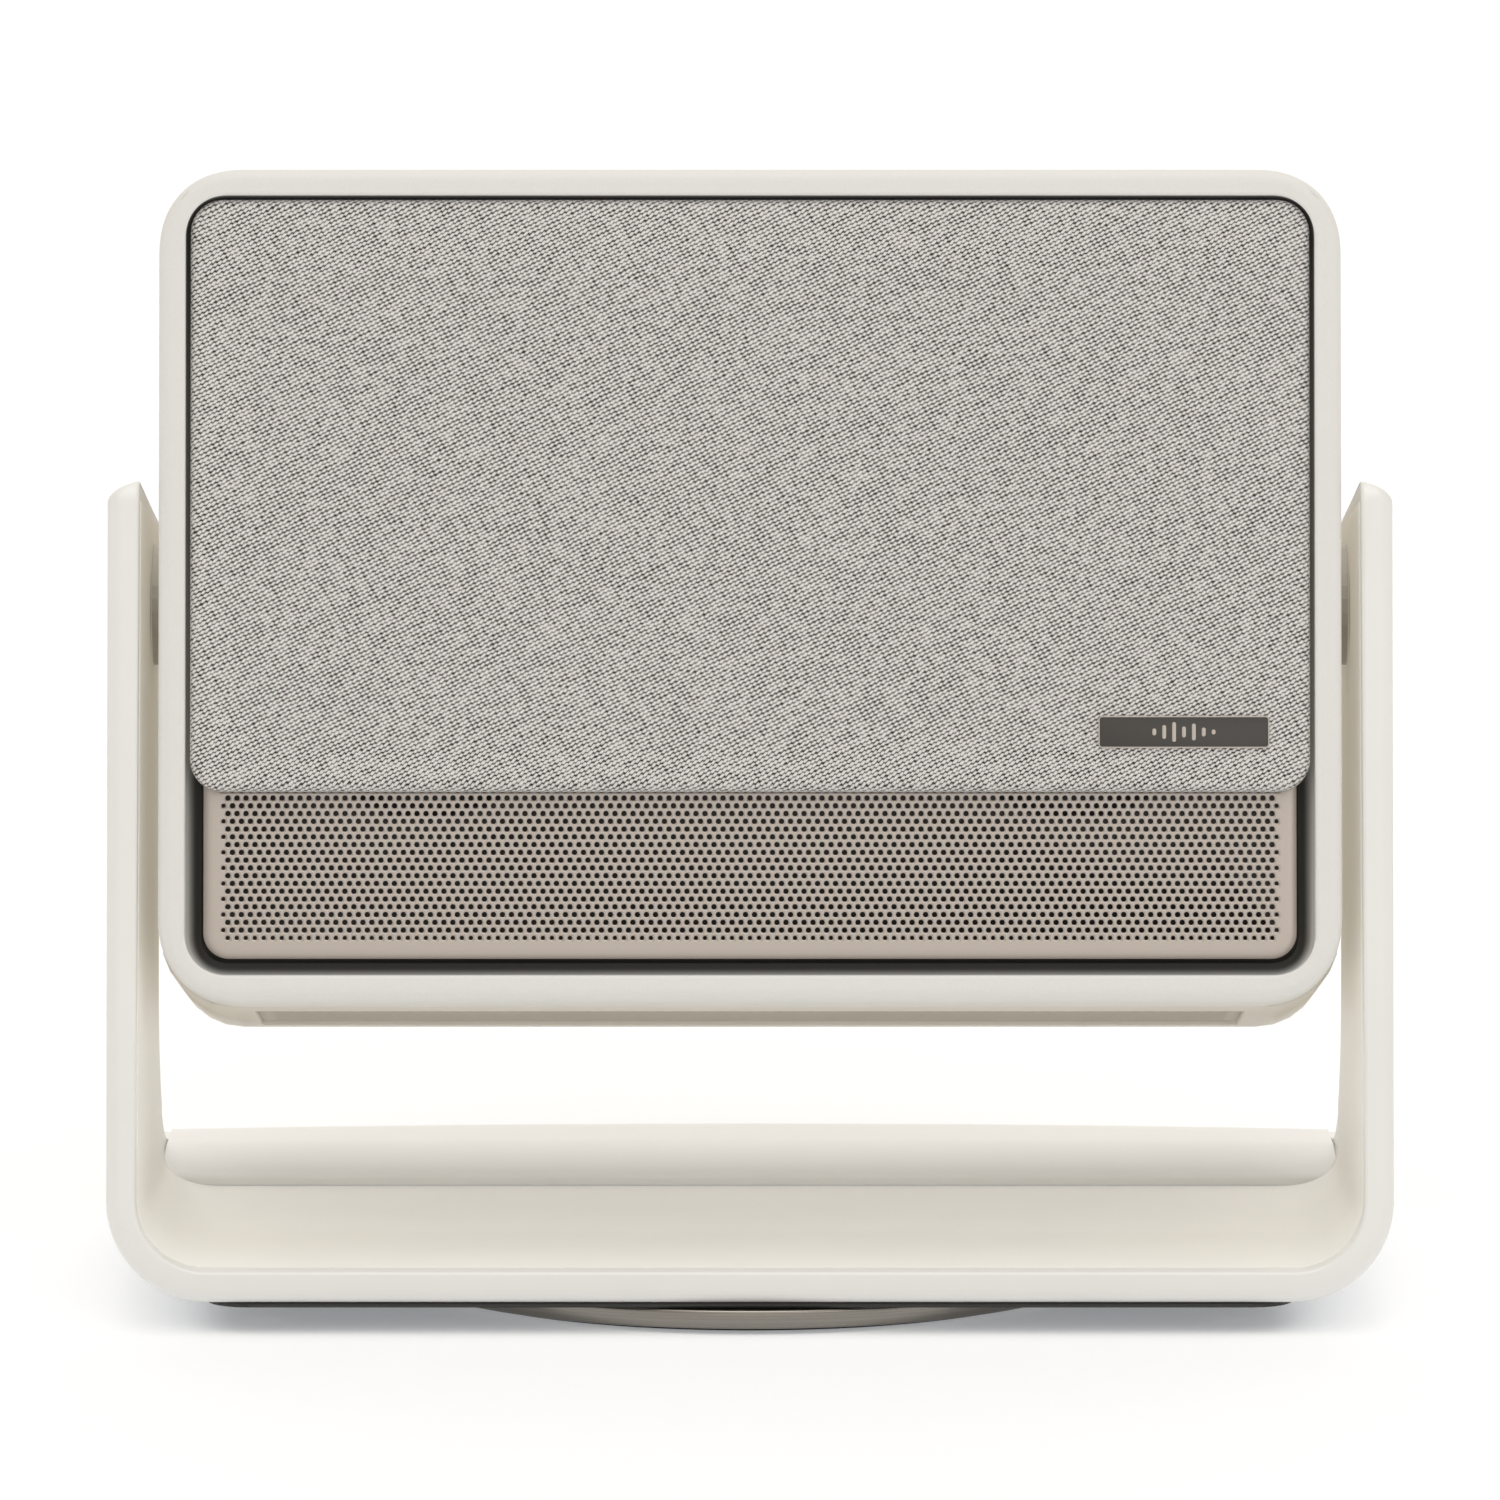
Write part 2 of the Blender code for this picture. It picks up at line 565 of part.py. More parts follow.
def make_hinges(yoke, head):
    """On each side: a flanged shaft in the arm, a friction washer, the head's friction block and a nut."""
    wall = INNER_HALF - ARM_DRAFT * (PIVOT.y - PLATE_FRONT)
    head_side = HEAD_WIDTH / 2
    place = (0.0, PIVOT.y, PIVOT.z)
    block_front = SHELL_HALF - GAP
    shaft_end = head_side - HINGE_REACH
    for side, name in ((-1, "left"), (1, "right")):
        flange = [(0.0, wall + FLANGE_THICKNESS), (FLANGE_RADIUS, wall + FLANGE_THICKNESS),
                  (FLANGE_RADIUS, wall),
                  (SHAFT_RADIUS, wall), (SHAFT_RADIUS, shaft_end), (0.0, shaft_end)]
        washer = [(SHAFT_RADIUS + GAP, wall - GAP), (FLANGE_RADIUS - 2.0, wall - GAP),
                  (FLANGE_RADIUS - 2.0, head_side + GAP), (SHAFT_RADIUS + GAP, head_side + GAP)]
        nut_top = shaft_end + 5.0
        nut = [(SHAFT_RADIUS + GAP, nut_top), (SHAFT_RADIUS + 4.0, nut_top),
               (SHAFT_RADIUS + 4.0, shaft_end + 0.5),
               (SHAFT_RADIUS + GAP, shaft_end + 0.5)]
        for piece, profile in (("hinge_shaft", flange), ("hinge_washer", washer), ("hinge_nut", nut)):
            mirrored = [(radius, side * along) for radius, along in profile]
            add_object(f"{piece}_{name}", turned(mirrored, "X", place, 28), steel(), yoke)
        sides = sorted((side * block_front, side * (nut_top + GAP)))
        block = add_object(f"friction_block_{name}", box((sides[0], -13.0, -16.0), (sides[1], 13.0, 16.0)),
                           steel(), head)
        cut(block, disc(SHAFT_RADIUS + GAP, sides[0] - 1.0, sides[1] + 1.0, "X", steps=24))


# ---------------------------------------------------------------- the head's case

def head_ring(offset, depth):
    """The head's outline, drawn in by an offset, at one depth."""
    radius = max(HEAD_CORNER - offset, 1.0)
    return [(x, depth, z) for x, z in
            rounded_outline(HEAD_WIDTH / 2 - offset, HEAD_HEIGHT / 2 - offset, radius)]


def make_bezel(head):
    """The leather-wrapped frame: round outer edge, a short straight mouth, then a cove to the grille."""
    mouth = HEAD_FRONT + COVE_START
    profile = [(0.0, HEAD_FRONT + BEZEL_DEPTH), (0.0, HEAD_FRONT + 3.2), (0.25, HEAD_FRONT + 1.9),
               (0.95, HEAD_FRONT + 0.85), (2.0, HEAD_FRONT + 0.2), (3.2, HEAD_FRONT), (5.0, HEAD_FRONT),
               (BEZEL_FACE - 0.2, HEAD_FRONT + 0.2), (BEZEL_FACE, HEAD_FRONT + 0.8), (BEZEL_FACE, mouth)]
    for angle in np.linspace(0.0, math.pi / 2, 5)[1:]:
        profile.append((BEZEL_LIP - (BEZEL_LIP - BEZEL_FACE) * math.cos(angle),
                        mouth + COVE_DEPTH * math.sin(angle)))
    profile += [(BEZEL_WALL, mouth + COVE_DEPTH), (BEZEL_WALL, HEAD_FRONT + BEZEL_DEPTH)]
    rings = [head_ring(offset, depth) for offset, depth in profile]
    add_object("bezel", loft(rings, loop=True), material("pale leather", (0.83, 0.81, 0.77), 0.55), head)


def port_places():
    """Each socket's name, middle and size across, up and in depth, in the port plate at the rear."""
    return [("power_inlet", -44.0, (17.0, 12.0), 20.0), ("video_socket", -14.0, (15.0, 6.0), 14.0),
            ("usb_socket", 12.0, (13.0, 6.5), 15.0), ("audio_socket", 34.0, (7.5, 7.5), 14.0)]


def make_rear_shell(head):
    """The moulded shell behind the bezel, open at the front, with its vents, ports and hinge holes."""
    rings = [head_ring(0.0, SHELL_FRONT)]
    for angle in np.linspace(0.0, math.pi / 2, 5):
        rings.append(head_ring(SHELL_REAR_RADIUS * (1 - math.cos(angle)),
                               SHELL_REAR - SHELL_REAR_RADIUS * (1 - math.sin(angle))))
    shell = add_object("rear_shell", loft(rings), shell_plastic(), head)
    cavity = rounded_outline(SHELL_HALF, SHELL_HALF_HEIGHT, HEAD_CORNER - SHELL_WALL)
    cut(shell, slab(cavity, SHELL_FRONT - 1.0, SHELL_REAR - SHELL_WALL))
    cut(shell, disc(FLANGE_RADIUS - 6.0, -HEAD_WIDTH, HEAD_WIDTH, "X"))
    cut(shell, box((-VENT_SIZE[0] / 2, VENT_FRONT, -HEAD_HEIGHT),
                   (VENT_SIZE[0] / 2, VENT_FRONT + VENT_SIZE[1], -70.0)))
    cut(shell, slab(rounded_outline(PORT_PLATE[0] / 2, PORT_PLATE[1] / 2, 5.0, (PORT_X, PORT_Z)), 50.0,
                    80.0))
    cut(shell, slab(rounded_outline(FAN_SIZE / 2, FAN_SIZE / 2, 5.0, (FAN_X, FAN_Z)), 50.0, 80.0))
    cut(shell, disc(BUTTON_RADIUS + GAP, 70.0, 100.0, "Z", (BUTTON_X, BUTTON_Y), 24))


def make_vents(head):
    """The perforated panel under the head, kept plain here, and the slatted grille behind its fan."""
    low = -HEAD_HEIGHT / 2 + 0.8
    add_object("underside_vent", box(
        (-VENT_SIZE[0] / 2 + GAP, VENT_FRONT + GAP, low),
        (VENT_SIZE[0] / 2 - GAP, VENT_FRONT + VENT_SIZE[1] - GAP, low + SHELL_WALL - 1.0)), dark_plastic(),
        head)
    rear = add_object("exhaust_grille", slab(
        rounded_outline(FAN_SIZE / 2 - GAP, FAN_SIZE / 2 - GAP, 5.0 - GAP, (FAN_X, FAN_Z)),
        SHELL_REAR - SHELL_WALL + 0.4, SHELL_REAR - 0.4), dark_plastic(), head)
    for z in np.linspace(FAN_Z - 22.5, FAN_Z + 22.5, 7):
        cut(rear, box((FAN_X - 25.0, SHELL_REAR - 5.0, z - 2.2), (FAN_X + 25.0, SHELL_REAR + 5.0, z + 2.2)))


def make_ports(head):
    """The port plate, its sockets and the main board that carries them."""
    plate = add_object("port_plate", slab(
        rounded_outline(PORT_PLATE[0] / 2 - GAP, PORT_PLATE[1] / 2 - GAP, 5.0 - GAP, (PORT_X, PORT_Z)),
        SHELL_REAR - SHELL_WALL, SHELL_REAR - 0.6), dark_plastic(), head)
    board_top = BOARD_Z + BOARD_THICKNESS
    for name, x, (width, height), length in port_places():
        middle = board_top + GAP + height / 2
        cut(plate, box((x - width / 2 - GAP, 50.0, middle - height / 2 - GAP),
                       (x + width / 2 + GAP, 80.0, middle + height / 2 + GAP)))
        rear = SHELL_REAR - 0.9
        socket = add_object(name, box((x - width / 2, rear - length, middle - height / 2),
                                      (x + width / 2, rear, middle + height / 2)), steel(), head)
        cut(socket, box((x - width / 2 + 1.0, rear - length + 4.0, middle - height / 2 + 1.0),
                        (x + width / 2 - 1.0, rear + 1.0, middle + height / 2 - 1.0)))
    add_object("main_board", box((-95.0, -8.0, BOARD_Z), (95.0, SHELL_REAR - SHELL_WALL - 1.0, board_top)),
               copper_board(), head)


# ---------------------------------------------------------------- behind the cover

def slot_outline():
    """The slot through grille and baffle in which the cover's carriage travels."""
    return box_outline(-POST_HALF - GAP * 2, POST_HALF + GAP * 2,
                       CARRIAGE_LOW - COVER_TRAVEL - 1.0, CARRIAGE_HIGH + 1.0)


def plate_outline(seam, upper):
    """The half above or below a level seam of the round-cornered plate that fills the bezel's mouth."""
    whole = rounded_outline(GRILLE_HALF, GRILLE_HALF_HEIGHT, GRILLE_CORNER)
    kept = [(x, z) for x, z in whole if (z > 0) == upper]
    if upper:
        return kept + [(-GRILLE_HALF, seam), (GRILLE_HALF, seam)]
    return kept + [(GRILLE_HALF, seam), (-GRILLE_HALF, seam)]


def box_outline(left, right, low, high):
    return [(left, low), (right, low), (right, high), (left, high)]


def make_front(head):
    """The perforated metal grille, the lens strip above it and the baffle that carries both."""
    grille = add_object("grille", slab(plate_outline(STRIP_FOOT - GAP, False),
                                       GRILLE_FRONT, GRILLE_FRONT + GRILLE_THICKNESS),
                        material("champagne metal", (0.53, 0.48, 0.45), 0.38, 1.0), head)
    cut(grille, slab(slot_outline(), GRILLE_FRONT - 2.0, GRILLE_FRONT + 4.0))
    strip = add_object("lens_panel", slab(plate_outline(STRIP_FOOT, True),
                                          GRILLE_FRONT, GRILLE_FRONT + GRILLE_THICKNESS),
                       material("gloss black", (0.015, 0.015, 0.017), 0.12), head)
    window = rounded_outline(WINDOW_SIZE[0] / 2, WINDOW_SIZE[1] / 2, 4.0, (0.0, LENS_Z))
    cut(strip, slab(window, GRILLE_FRONT - 2.0, GRILLE_FRONT + 4.0))
    cut(strip, disc(SENSOR_RADIUS + GAP, GRILLE_FRONT - 2.0, GRILLE_FRONT + 4.0, "Y", (SENSOR_X, LENS_Z),
                    20))
    glass = material("tinted glass", (0.03, 0.03, 0.04), 0.05)
    add_object("lens_window", slab(rounded_outline(WINDOW_SIZE[0] / 2 - GAP, WINDOW_SIZE[1] / 2 - GAP,
                                                   4.0 - GAP,
                                                   (0.0, LENS_Z)),
                                   GRILLE_FRONT + 0.1, GRILLE_FRONT + GRILLE_THICKNESS - 0.1), glass, head)
    add_object("distance_sensor", disc(SENSOR_RADIUS, GRILLE_FRONT + 0.1, GRILLE_FRONT + GRILLE_THICKNESS,
                                       "Y",
                                       (SENSOR_X, LENS_Z), 20), glass, head)
    flange = BEZEL_WALL + GAP
    baffle = add_object("baffle", slab(rounded_outline(HEAD_WIDTH / 2 - flange, HEAD_HEIGHT / 2 - flange,
                                                       HEAD_CORNER - flange), FLANGE_FRONT, BAFFLE_REAR),
                        dark_plastic(), head)
    join(baffle, slab(rounded_outline(GRILLE_HALF - 1.0, GRILLE_HALF_HEIGHT - 1.0, GRILLE_CORNER - 1.0),
                      BAFFLE_FRONT, FLANGE_FRONT + 1.0))
    cut(baffle, slab(slot_outline(), BAFFLE_FRONT - 1.0, BAFFLE_REAR + 1.0))
    cut(baffle, disc(LENS_RADIUS + GAP, BAFFLE_FRONT - 1.0, BAFFLE_REAR + 1.0, "Y", (0.0, LENS_Z)))
    for side in (-1, 1):
        cut(baffle, disc(DRIVER_RADIUS - 3.0, BAFFLE_FRONT - 1.0, BAFFLE_REAR + 1.0, "Y",
                         (side * DRIVER_X, DRIVER_Z)))


def make_speakers(head):
    """The two loudspeakers: a basket with its magnet, a cone, and a closed box round each."""
    width, depth, height = SPEAKER_BOX[0], SPEAKER_BOX[1], SPEAKER_BOX[2]
    front = BAFFLE_REAR + GAP
    for side, name in ((-1, "left"), (1, "right")):
        centre = (side * DRIVER_X, 0.0, DRIVER_Z)
        x = side * DRIVER_X
        enclosure = add_object(f"speaker_box_{name}", box((x - width / 2, front, DRIVER_Z - height / 2),
                                                          (x + width / 2, front + depth,
                                                           DRIVER_Z + height / 2)),
                               dark_plastic(), head)
        cut(enclosure, box((x - width / 2 + 2.0, front - 1.0, DRIVER_Z - height / 2 + 2.0),
                           (x + width / 2 - 2.0, front + depth - 2.0, DRIVER_Z + height / 2 - 2.0)))
        rim = DRIVER_RADIUS
        basket = [(rim - 4.0, front), (rim, front), (rim, front + 2.0), (rim - 3.0, front + 2.5),
                  (18.0, front + 18.0), (22.0, front + 18.5), (22.0, front + 34.0), (0.0, front + 34.0),
                  (0.0, front + 20.0), (14.0, front + 20.0), (rim - 6.5, front + 2.0)]
        add_object(f"speaker_basket_{name}", turned(basket, "Y", centre), steel(), head)
        cone = [(rim - 4.4, front - 1.6), (rim - 6.5, front - 2.6), (rim - 9.0, front - 1.4),
                (10.0, front + 11.0),
                (7.0, front + 8.5), (0.0, front + 7.2), (0.0, front + 8.4), (7.0, front + 9.8),
                (10.0, front + 12.4), (rim - 9.0, front - 0.2), (rim - 4.4, front - 0.6)]
        add_object(f"speaker_cone_{name}", turned(cone, "Y", centre),
                   material("cone paper", (0.08, 0.08, 0.08), 0.7),
                   head)


def make_optics(head):
    """The lens barrel with its front glass, the light engine, the heat sink and the power supply."""
    front = BAFFLE_FRONT
    bore = LENS_RADIUS - 1.6
    barrel = [(bore, front), (LENS_RADIUS, front), (LENS_RADIUS, ENGINE_FRONT - GAP),
              (bore, ENGINE_FRONT - GAP)]
    add_object("lens_barrel", turned(barrel, "Y", (0.0, 0.0, LENS_Z), 28), dark_plastic(), head)
    glass = [(0.0, front + 1.0), (bore * 0.45, front + 1.5), (bore * 0.8, front + 2.8),
             (bore - GAP, front + 4.2),
             (bore - GAP, front + 7.0), (0.0, front + 7.0)]
    add_object("front_lens", turned(glass, "Y", (0.0, 0.0, LENS_Z), 28),
               material("lens glass", (0.1, 0.08, 0.14), 0.03),
               head)
    low, high = STRIP_FOOT - 6.0, GRILLE_HALF_HEIGHT + 2.0
    add_object("light_engine", box((-42.0, ENGINE_FRONT, low), (42.0, ENGINE_REAR, high)), dark_plastic(),
               head)
    sink = add_object("heat_sink", box((-38.0, ENGINE_REAR + GAP, low), (38.0, SHELL_REAR - 6.0, high)),
                      steel(), head)
    for x in np.linspace(-33.0, 33.0, 12):
        cut(sink, box((x - 1.9, ENGINE_REAR + 5.0, low - 1.0), (x + 1.9, SHELL_REAR, high + 1.0)))
    add_object("power_supply", box((-33.0, -18.0, -63.0), (33.0, 36.0, -10.0)), steel(), head)


def make_fan(head, rotor_frame):
    """The fan's square housing with its struts, and its rotor on an axis of its own."""
    front = SHELL_REAR - SHELL_WALL - FAN_THICKNESS - 0.6
    rear = front + FAN_THICKNESS
    housing = add_object("fan_housing", slab(rounded_outline(FAN_SIZE / 2, FAN_SIZE / 2, 4.0,
                                                             (FAN_X, FAN_Z)),
                                             front, rear), dark_plastic(), head)
    cut(housing, slab(circle_outline(FAN_SIZE / 2 - 2.5, (FAN_X, FAN_Z), 40), front - 1.0, rear - 2.0))
    for quarter in range(4):
        low, high = math.radians(90 * quarter + 8), math.radians(90 * quarter + 82)
        outer = [(FAN_X + 26.5 * math.cos(angle), FAN_Z + 26.5 * math.sin(angle))
                 for angle in np.linspace(low, high, 7)]
        inner = [(FAN_X + 12.0 * math.cos(angle), FAN_Z + 12.0 * math.sin(angle))
                 for angle in np.linspace(high, low, 5)]
        cut(housing, slab(outer + inner, rear - 3.0, rear + 1.0))
    hub = disc(10.0, -5.5, 5.5, "Y", steps=24)
    rotor = add_object("fan_rotor", hub, dark_plastic(), rotor_frame)
    for blade in range(7):
        turn = math.tau * blade / 7
        rings = []
        for radius in (9.0, 17.0, 25.5):
            sweep = turn + 0.012 * (radius - 9.0)
            ring = []
            for along, swing in ((-5.0, -0.16), (-4.0, -0.19), (5.0, 0.16), (4.0, 0.19)):
                angle = sweep + swing * 9.0 / math.sqrt(radius * 9.0)
                ring.append((radius * math.cos(angle), along, radius * math.sin(angle)))
            rings.append(ring)
        join(rotor, loft(rings))


def make_button(head, button_frame):
    """The round power button in the top of the shell, and the switch board under it."""
    top = HEAD_HEIGHT / 2
    cap = [(0.0, 1.0), (BUTTON_RADIUS - 0.6, 1.0), (BUTTON_RADIUS, 0.4), (BUTTON_RADIUS, -2.2), (2.0, -2.2),
           (2.0, -4.6), (0.0, -4.6)]
    add_object("power_button", turned(cap, steps=24), shell_plastic(), button_frame)
    add_object("switch_board", box((BUTTON_X - 9.0, BUTTON_Y - 5.0, top - 7.4),
                                   (BUTTON_X + 9.0, BUTTON_Y + 5.0, top - 5.9)),
               copper_board(), head)


# ---------------------------------------------------------------- the sliding cover

def make_cover(cover):
    """The cloth-faced cover: a stiff tray, its cloth, the name plate and the carriage that carries it."""
    tray = rounded_outline(COVER_HALF - 0.4, COVER_HEIGHT / 2 - 0.4, COVER_CORNER - 0.4, (0.0, COVER_MIDDLE))
    add_object("cover_tray", slab(tray, TRAY_FRONT, TRAY_FRONT + TRAY_THICKNESS), dark_plastic(), cover)
    rings = []
    for angle in np.linspace(0.0, math.pi / 2, 4):
        draw = CLOTH_THICKNESS * 0.8 * (1 - math.cos(angle))
        outline = rounded_outline(COVER_HALF - draw, COVER_HEIGHT / 2 - draw, COVER_CORNER - draw,
                                  (0.0, COVER_MIDDLE))
        depth = CLOTH_FRONT + CLOTH_THICKNESS * 0.8 * (1 - math.sin(angle))
        rings.append([(x, depth, z) for x, z in outline])
    rings.insert(0, [(x, CLOTH_FRONT + CLOTH_THICKNESS, z) for x, _, z in rings[0]])
    add_object("cover_cloth", loft(rings), material("grey cloth", (0.62, 0.61, 0.59), 0.9), cover)
    badge_x = COVER_HALF - BADGE_INSET[0]
    badge_z = COVER_TOP - COVER_HEIGHT + BADGE_INSET[1]
    outline = rounded_outline(BADGE_SIZE[0] / 2, BADGE_SIZE[1] / 2, 0.8, (badge_x, badge_z), 3)
    add_object("badge", slab(outline, CLOTH_FRONT - GAP - BADGE_THICKNESS, CLOTH_FRONT - GAP),
               dark_plastic(), cover)
    tray_rear = TRAY_FRONT + TRAY_THICKNESS
    behind = BAFFLE_REAR + GAP
    tee = [(-POST_HALF, tray_rear + GAP), (POST_HALF, tray_rear + GAP), (POST_HALF, behind),
           (CARRIAGE_HALF, behind),
           (CARRIAGE_HALF, behind + CARRIAGE_DEPTH), (-CARRIAGE_HALF, behind + CARRIAGE_DEPTH),
           (-CARRIAGE_HALF, behind), (-POST_HALF, behind)]
    carriage = add_object("cover_carriage", slab(tee, CARRIAGE_LOW, CARRIAGE_HIGH, "Z"), dark_plastic(),
                          cover)
    for side in (-1, 1):
        cut(carriage, disc(RAIL_RADIUS + GAP, CARRIAGE_LOW - 1.0, CARRIAGE_HIGH + 1.0, "Z",
                           (side * RAIL_X, RAIL_Y), 16))
    add_object("cover_rack", slab(rack_outline(), RACK_FRONT, RACK_FRONT + GEAR_WIDTH), dark_plastic(),
               cover)


def rack_outline():
    """A rack of straight-sided teeth that face the pinion, long enough for the whole travel."""
    pitch = math.pi * MODULE
    back = CARRIAGE_HALF + GAP
    root = PINION_X - MODULE * PINION_TEETH / 2 - 1.25 * MODULE
    tip = root + 2.0 * MODULE
    first = PINION_Z - 2 * pitch
    teeth = round(COVER_TRAVEL / pitch) + 4
    points = [(back, first - pitch / 2)]
    for tooth in range(teeth):
        middle = first + tooth * pitch
        points += [(root, middle - 0.95 * MODULE), (tip, middle - 0.35 * MODULE),
                   (tip, middle + 0.35 * MODULE), (root, middle + 0.95 * MODULE)]
    points.append((back, first + (teeth - 0.5) * pitch))
    return points


def make_cover_drive(head, pinion_frame):
    """The fixed half of the drive: a frame with two round rails, the motor, and the pinion it turns."""
    low_end = CARRIAGE_LOW - COVER_TRAVEL - 2.0
    high_end = CARRIAGE_HIGH + 2.0
    behind = BAFFLE_REAR + GAP
    rails = add_object("rail_frame", box((-CARRIAGE_HALF, behind, low_end - 6.0),
                                         (CARRIAGE_HALF, behind + CARRIAGE_DEPTH, low_end)), steel(), head)
    join(rails, box((-CARRIAGE_HALF, behind, high_end), (CARRIAGE_HALF, behind + CARRIAGE_DEPTH,
                                                         high_end + 6.0)))
    for side in (-1, 1):
        join(rails, disc(RAIL_RADIUS, low_end - 3.0, high_end + 3.0, "Z", (side * RAIL_X, RAIL_Y), 16))
    points = []
    for tooth in range(PINION_TEETH):
        middle = math.pi + math.tau * (tooth + 0.5) / PINION_TEETH
        for radius, swing in ((6.35, -0.14), (8.1, -0.045), (8.1, 0.045), (6.35, 0.14)):
            points.append((radius * MODULE * math.cos(middle + swing),
                           radius * MODULE * math.sin(middle + swing)))
    pinion = add_object("drive_pinion", slab(points, 0.0, GEAR_WIDTH),
                        material("brass", (0.7, 0.55, 0.3), 0.3, 1.0),
                        pinion_frame)
    cut(pinion, disc(MOTOR_SHAFT + GAP, -1.0, GEAR_WIDTH + 1.0, "Y", steps=16))
    motor = [(0.0, RACK_FRONT + 0.4), (MOTOR_SHAFT, RACK_FRONT + 0.4),
             (MOTOR_SHAFT, RACK_FRONT + GEAR_WIDTH + 0.6),
             (7.0, RACK_FRONT + GEAR_WIDTH + 0.6), (7.0, RACK_FRONT + GEAR_WIDTH + 20.0),
             (0.0, RACK_FRONT + GEAR_WIDTH + 20.0)]
    add_object("cover_motor", turned(motor, "Y", (PINION_X, 0.0, PINION_Z), 28), steel(), head)


def build():
    clear_scene()
    base = add_empty("base", (0.0, 0.0, 0.0))
    yoke = add_empty("turntable_axis", (0.0, 0.0, 0.0), parent=base)
    head = add_empty("tilt_axis", PIVOT, LEAN, yoke)
    cover = add_empty("cover_slide", (0.0, 0.0, 0.0), parent=head)
    pinion = add_empty("pinion_axis", (PINION_X, RACK_FRONT, PINION_Z), parent=head)
    rotor = add_empty("fan_axis", (FAN_X, SHELL_REAR - SHELL_WALL - 10.0, FAN_Z), parent=head)
    button = add_empty("button_axis", (BUTTON_X, BUTTON_Y, HEAD_HEIGHT / 2), parent=head)
    make_turntable(base, yoke)
    make_yoke_frame(yoke)
    make_yoke_liner(yoke)
    make_rear_housing(yoke)
    make_bottom_cover(yoke)
    make_hinges(yoke, head)
    make_bezel(head)
    make_rear_shell(head)
    make_vents(head)
    make_ports(head)
    make_front(head)
    make_speakers(head)
    make_optics(head)
    make_fan(head, rotor)
    make_button(head, button)
    make_cover(cover)
    make_cover_drive(head, pinion)
    bpy.context.view_layer.update()


build()
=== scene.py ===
"""A smart speaker projector: a leather-framed box with a sliding cloth cover, tilting in a leaning stand."""
import math

import bmesh
import bpy
import numpy as np
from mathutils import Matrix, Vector
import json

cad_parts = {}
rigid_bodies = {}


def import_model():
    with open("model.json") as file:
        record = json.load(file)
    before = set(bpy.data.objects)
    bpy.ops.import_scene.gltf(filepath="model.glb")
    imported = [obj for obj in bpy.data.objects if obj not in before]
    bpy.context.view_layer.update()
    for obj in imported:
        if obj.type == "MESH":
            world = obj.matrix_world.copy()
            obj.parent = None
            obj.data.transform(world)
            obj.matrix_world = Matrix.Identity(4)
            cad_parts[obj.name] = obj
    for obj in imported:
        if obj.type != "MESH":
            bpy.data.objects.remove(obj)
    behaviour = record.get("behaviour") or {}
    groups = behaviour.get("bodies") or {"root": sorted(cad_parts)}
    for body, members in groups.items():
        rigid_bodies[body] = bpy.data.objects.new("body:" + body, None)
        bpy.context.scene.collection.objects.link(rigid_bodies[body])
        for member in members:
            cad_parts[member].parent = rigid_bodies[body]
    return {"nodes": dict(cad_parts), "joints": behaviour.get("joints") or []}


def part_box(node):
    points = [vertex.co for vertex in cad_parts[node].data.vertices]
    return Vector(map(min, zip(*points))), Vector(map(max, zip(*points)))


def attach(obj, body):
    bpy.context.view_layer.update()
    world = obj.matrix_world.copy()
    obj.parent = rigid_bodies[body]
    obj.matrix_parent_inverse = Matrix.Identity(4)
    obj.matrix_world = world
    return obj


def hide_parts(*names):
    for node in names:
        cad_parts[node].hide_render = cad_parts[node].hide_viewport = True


for item in list(bpy.data.objects):
    bpy.data.objects.remove(item, do_unlink=True)
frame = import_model()
nodes = frame["nodes"]
joints = {joint["name"]: joint for joint in frame["joints"]}
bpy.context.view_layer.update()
link_object = bpy.context.scene.collection.objects.link


# --- Studio --------------------------------------------------------------------------------------
# A white seamless table, one soft box, three shadowless fills and a white room that is darker at the
# sides. The camera is a long lens nearly four metres away, so the perspective is almost flat.

def matt_white(name, colour, roughness):
    """A plain matt material for the table."""
    made = bpy.data.materials.new(name)
    made.use_nodes = True
    shader = made.node_tree.nodes["Principled BSDF"]
    shader.inputs["Base Color"].default_value = (*colour, 1.0)
    shader.inputs["Roughness"].default_value = roughness
    shader.inputs["Specular IOR Level"].default_value = 0.1
    return made


def soft_box(name, place, target, width, height, power):
    """A rectangular area light at a place, turned to face its target."""
    light = bpy.data.lights.new(name, "AREA")
    light.shape = "RECTANGLE"
    light.size = width
    light.size_y = height
    light.energy = power
    made = bpy.data.objects.new(name, light)
    made.location = place
    made.rotation_euler = (Vector(target) - Vector(place)).to_track_quat("-Z", "Y").to_euler()
    link_object(made)
    return made


table = bpy.data.meshes.new("table")
table.from_pydata([(-30, -12, 0), (30, -12, 0), (30, 60, 0), (-30, 60, 0)], [], [(0, 1, 2, 3)])
floor = bpy.data.objects.new("table", table)
floor.data.materials.append(matt_white("table white", (0.94, 0.955, 0.98), 0.9))
link_object(floor)
world = bpy.data.worlds.new("white room")
world.use_nodes = True
world.node_tree.nodes["Background"].inputs["Color"].default_value = (1.0, 0.955, 0.89, 1.0)
room = world.node_tree
direction = room.nodes.new("ShaderNodeSeparateXYZ")
room.links.new(room.nodes.new("ShaderNodeTexCoord").outputs["Generated"], direction.inputs[0])
sideways = room.nodes.new("ShaderNodeMath")
sideways.operation = "ABSOLUTE"
room.links.new(direction.outputs["X"], sideways.inputs[0])
dimmer = room.nodes.new("ShaderNodeMapRange")
dimmer.inputs["To Min"].default_value = 1.35
dimmer.inputs["To Max"].default_value = 0.05
room.links.new(sideways.outputs[0], dimmer.inputs["Value"])
room.links.new(dimmer.outputs["Result"], room.nodes["Background"].inputs["Strength"])
bpy.context.scene.world = world
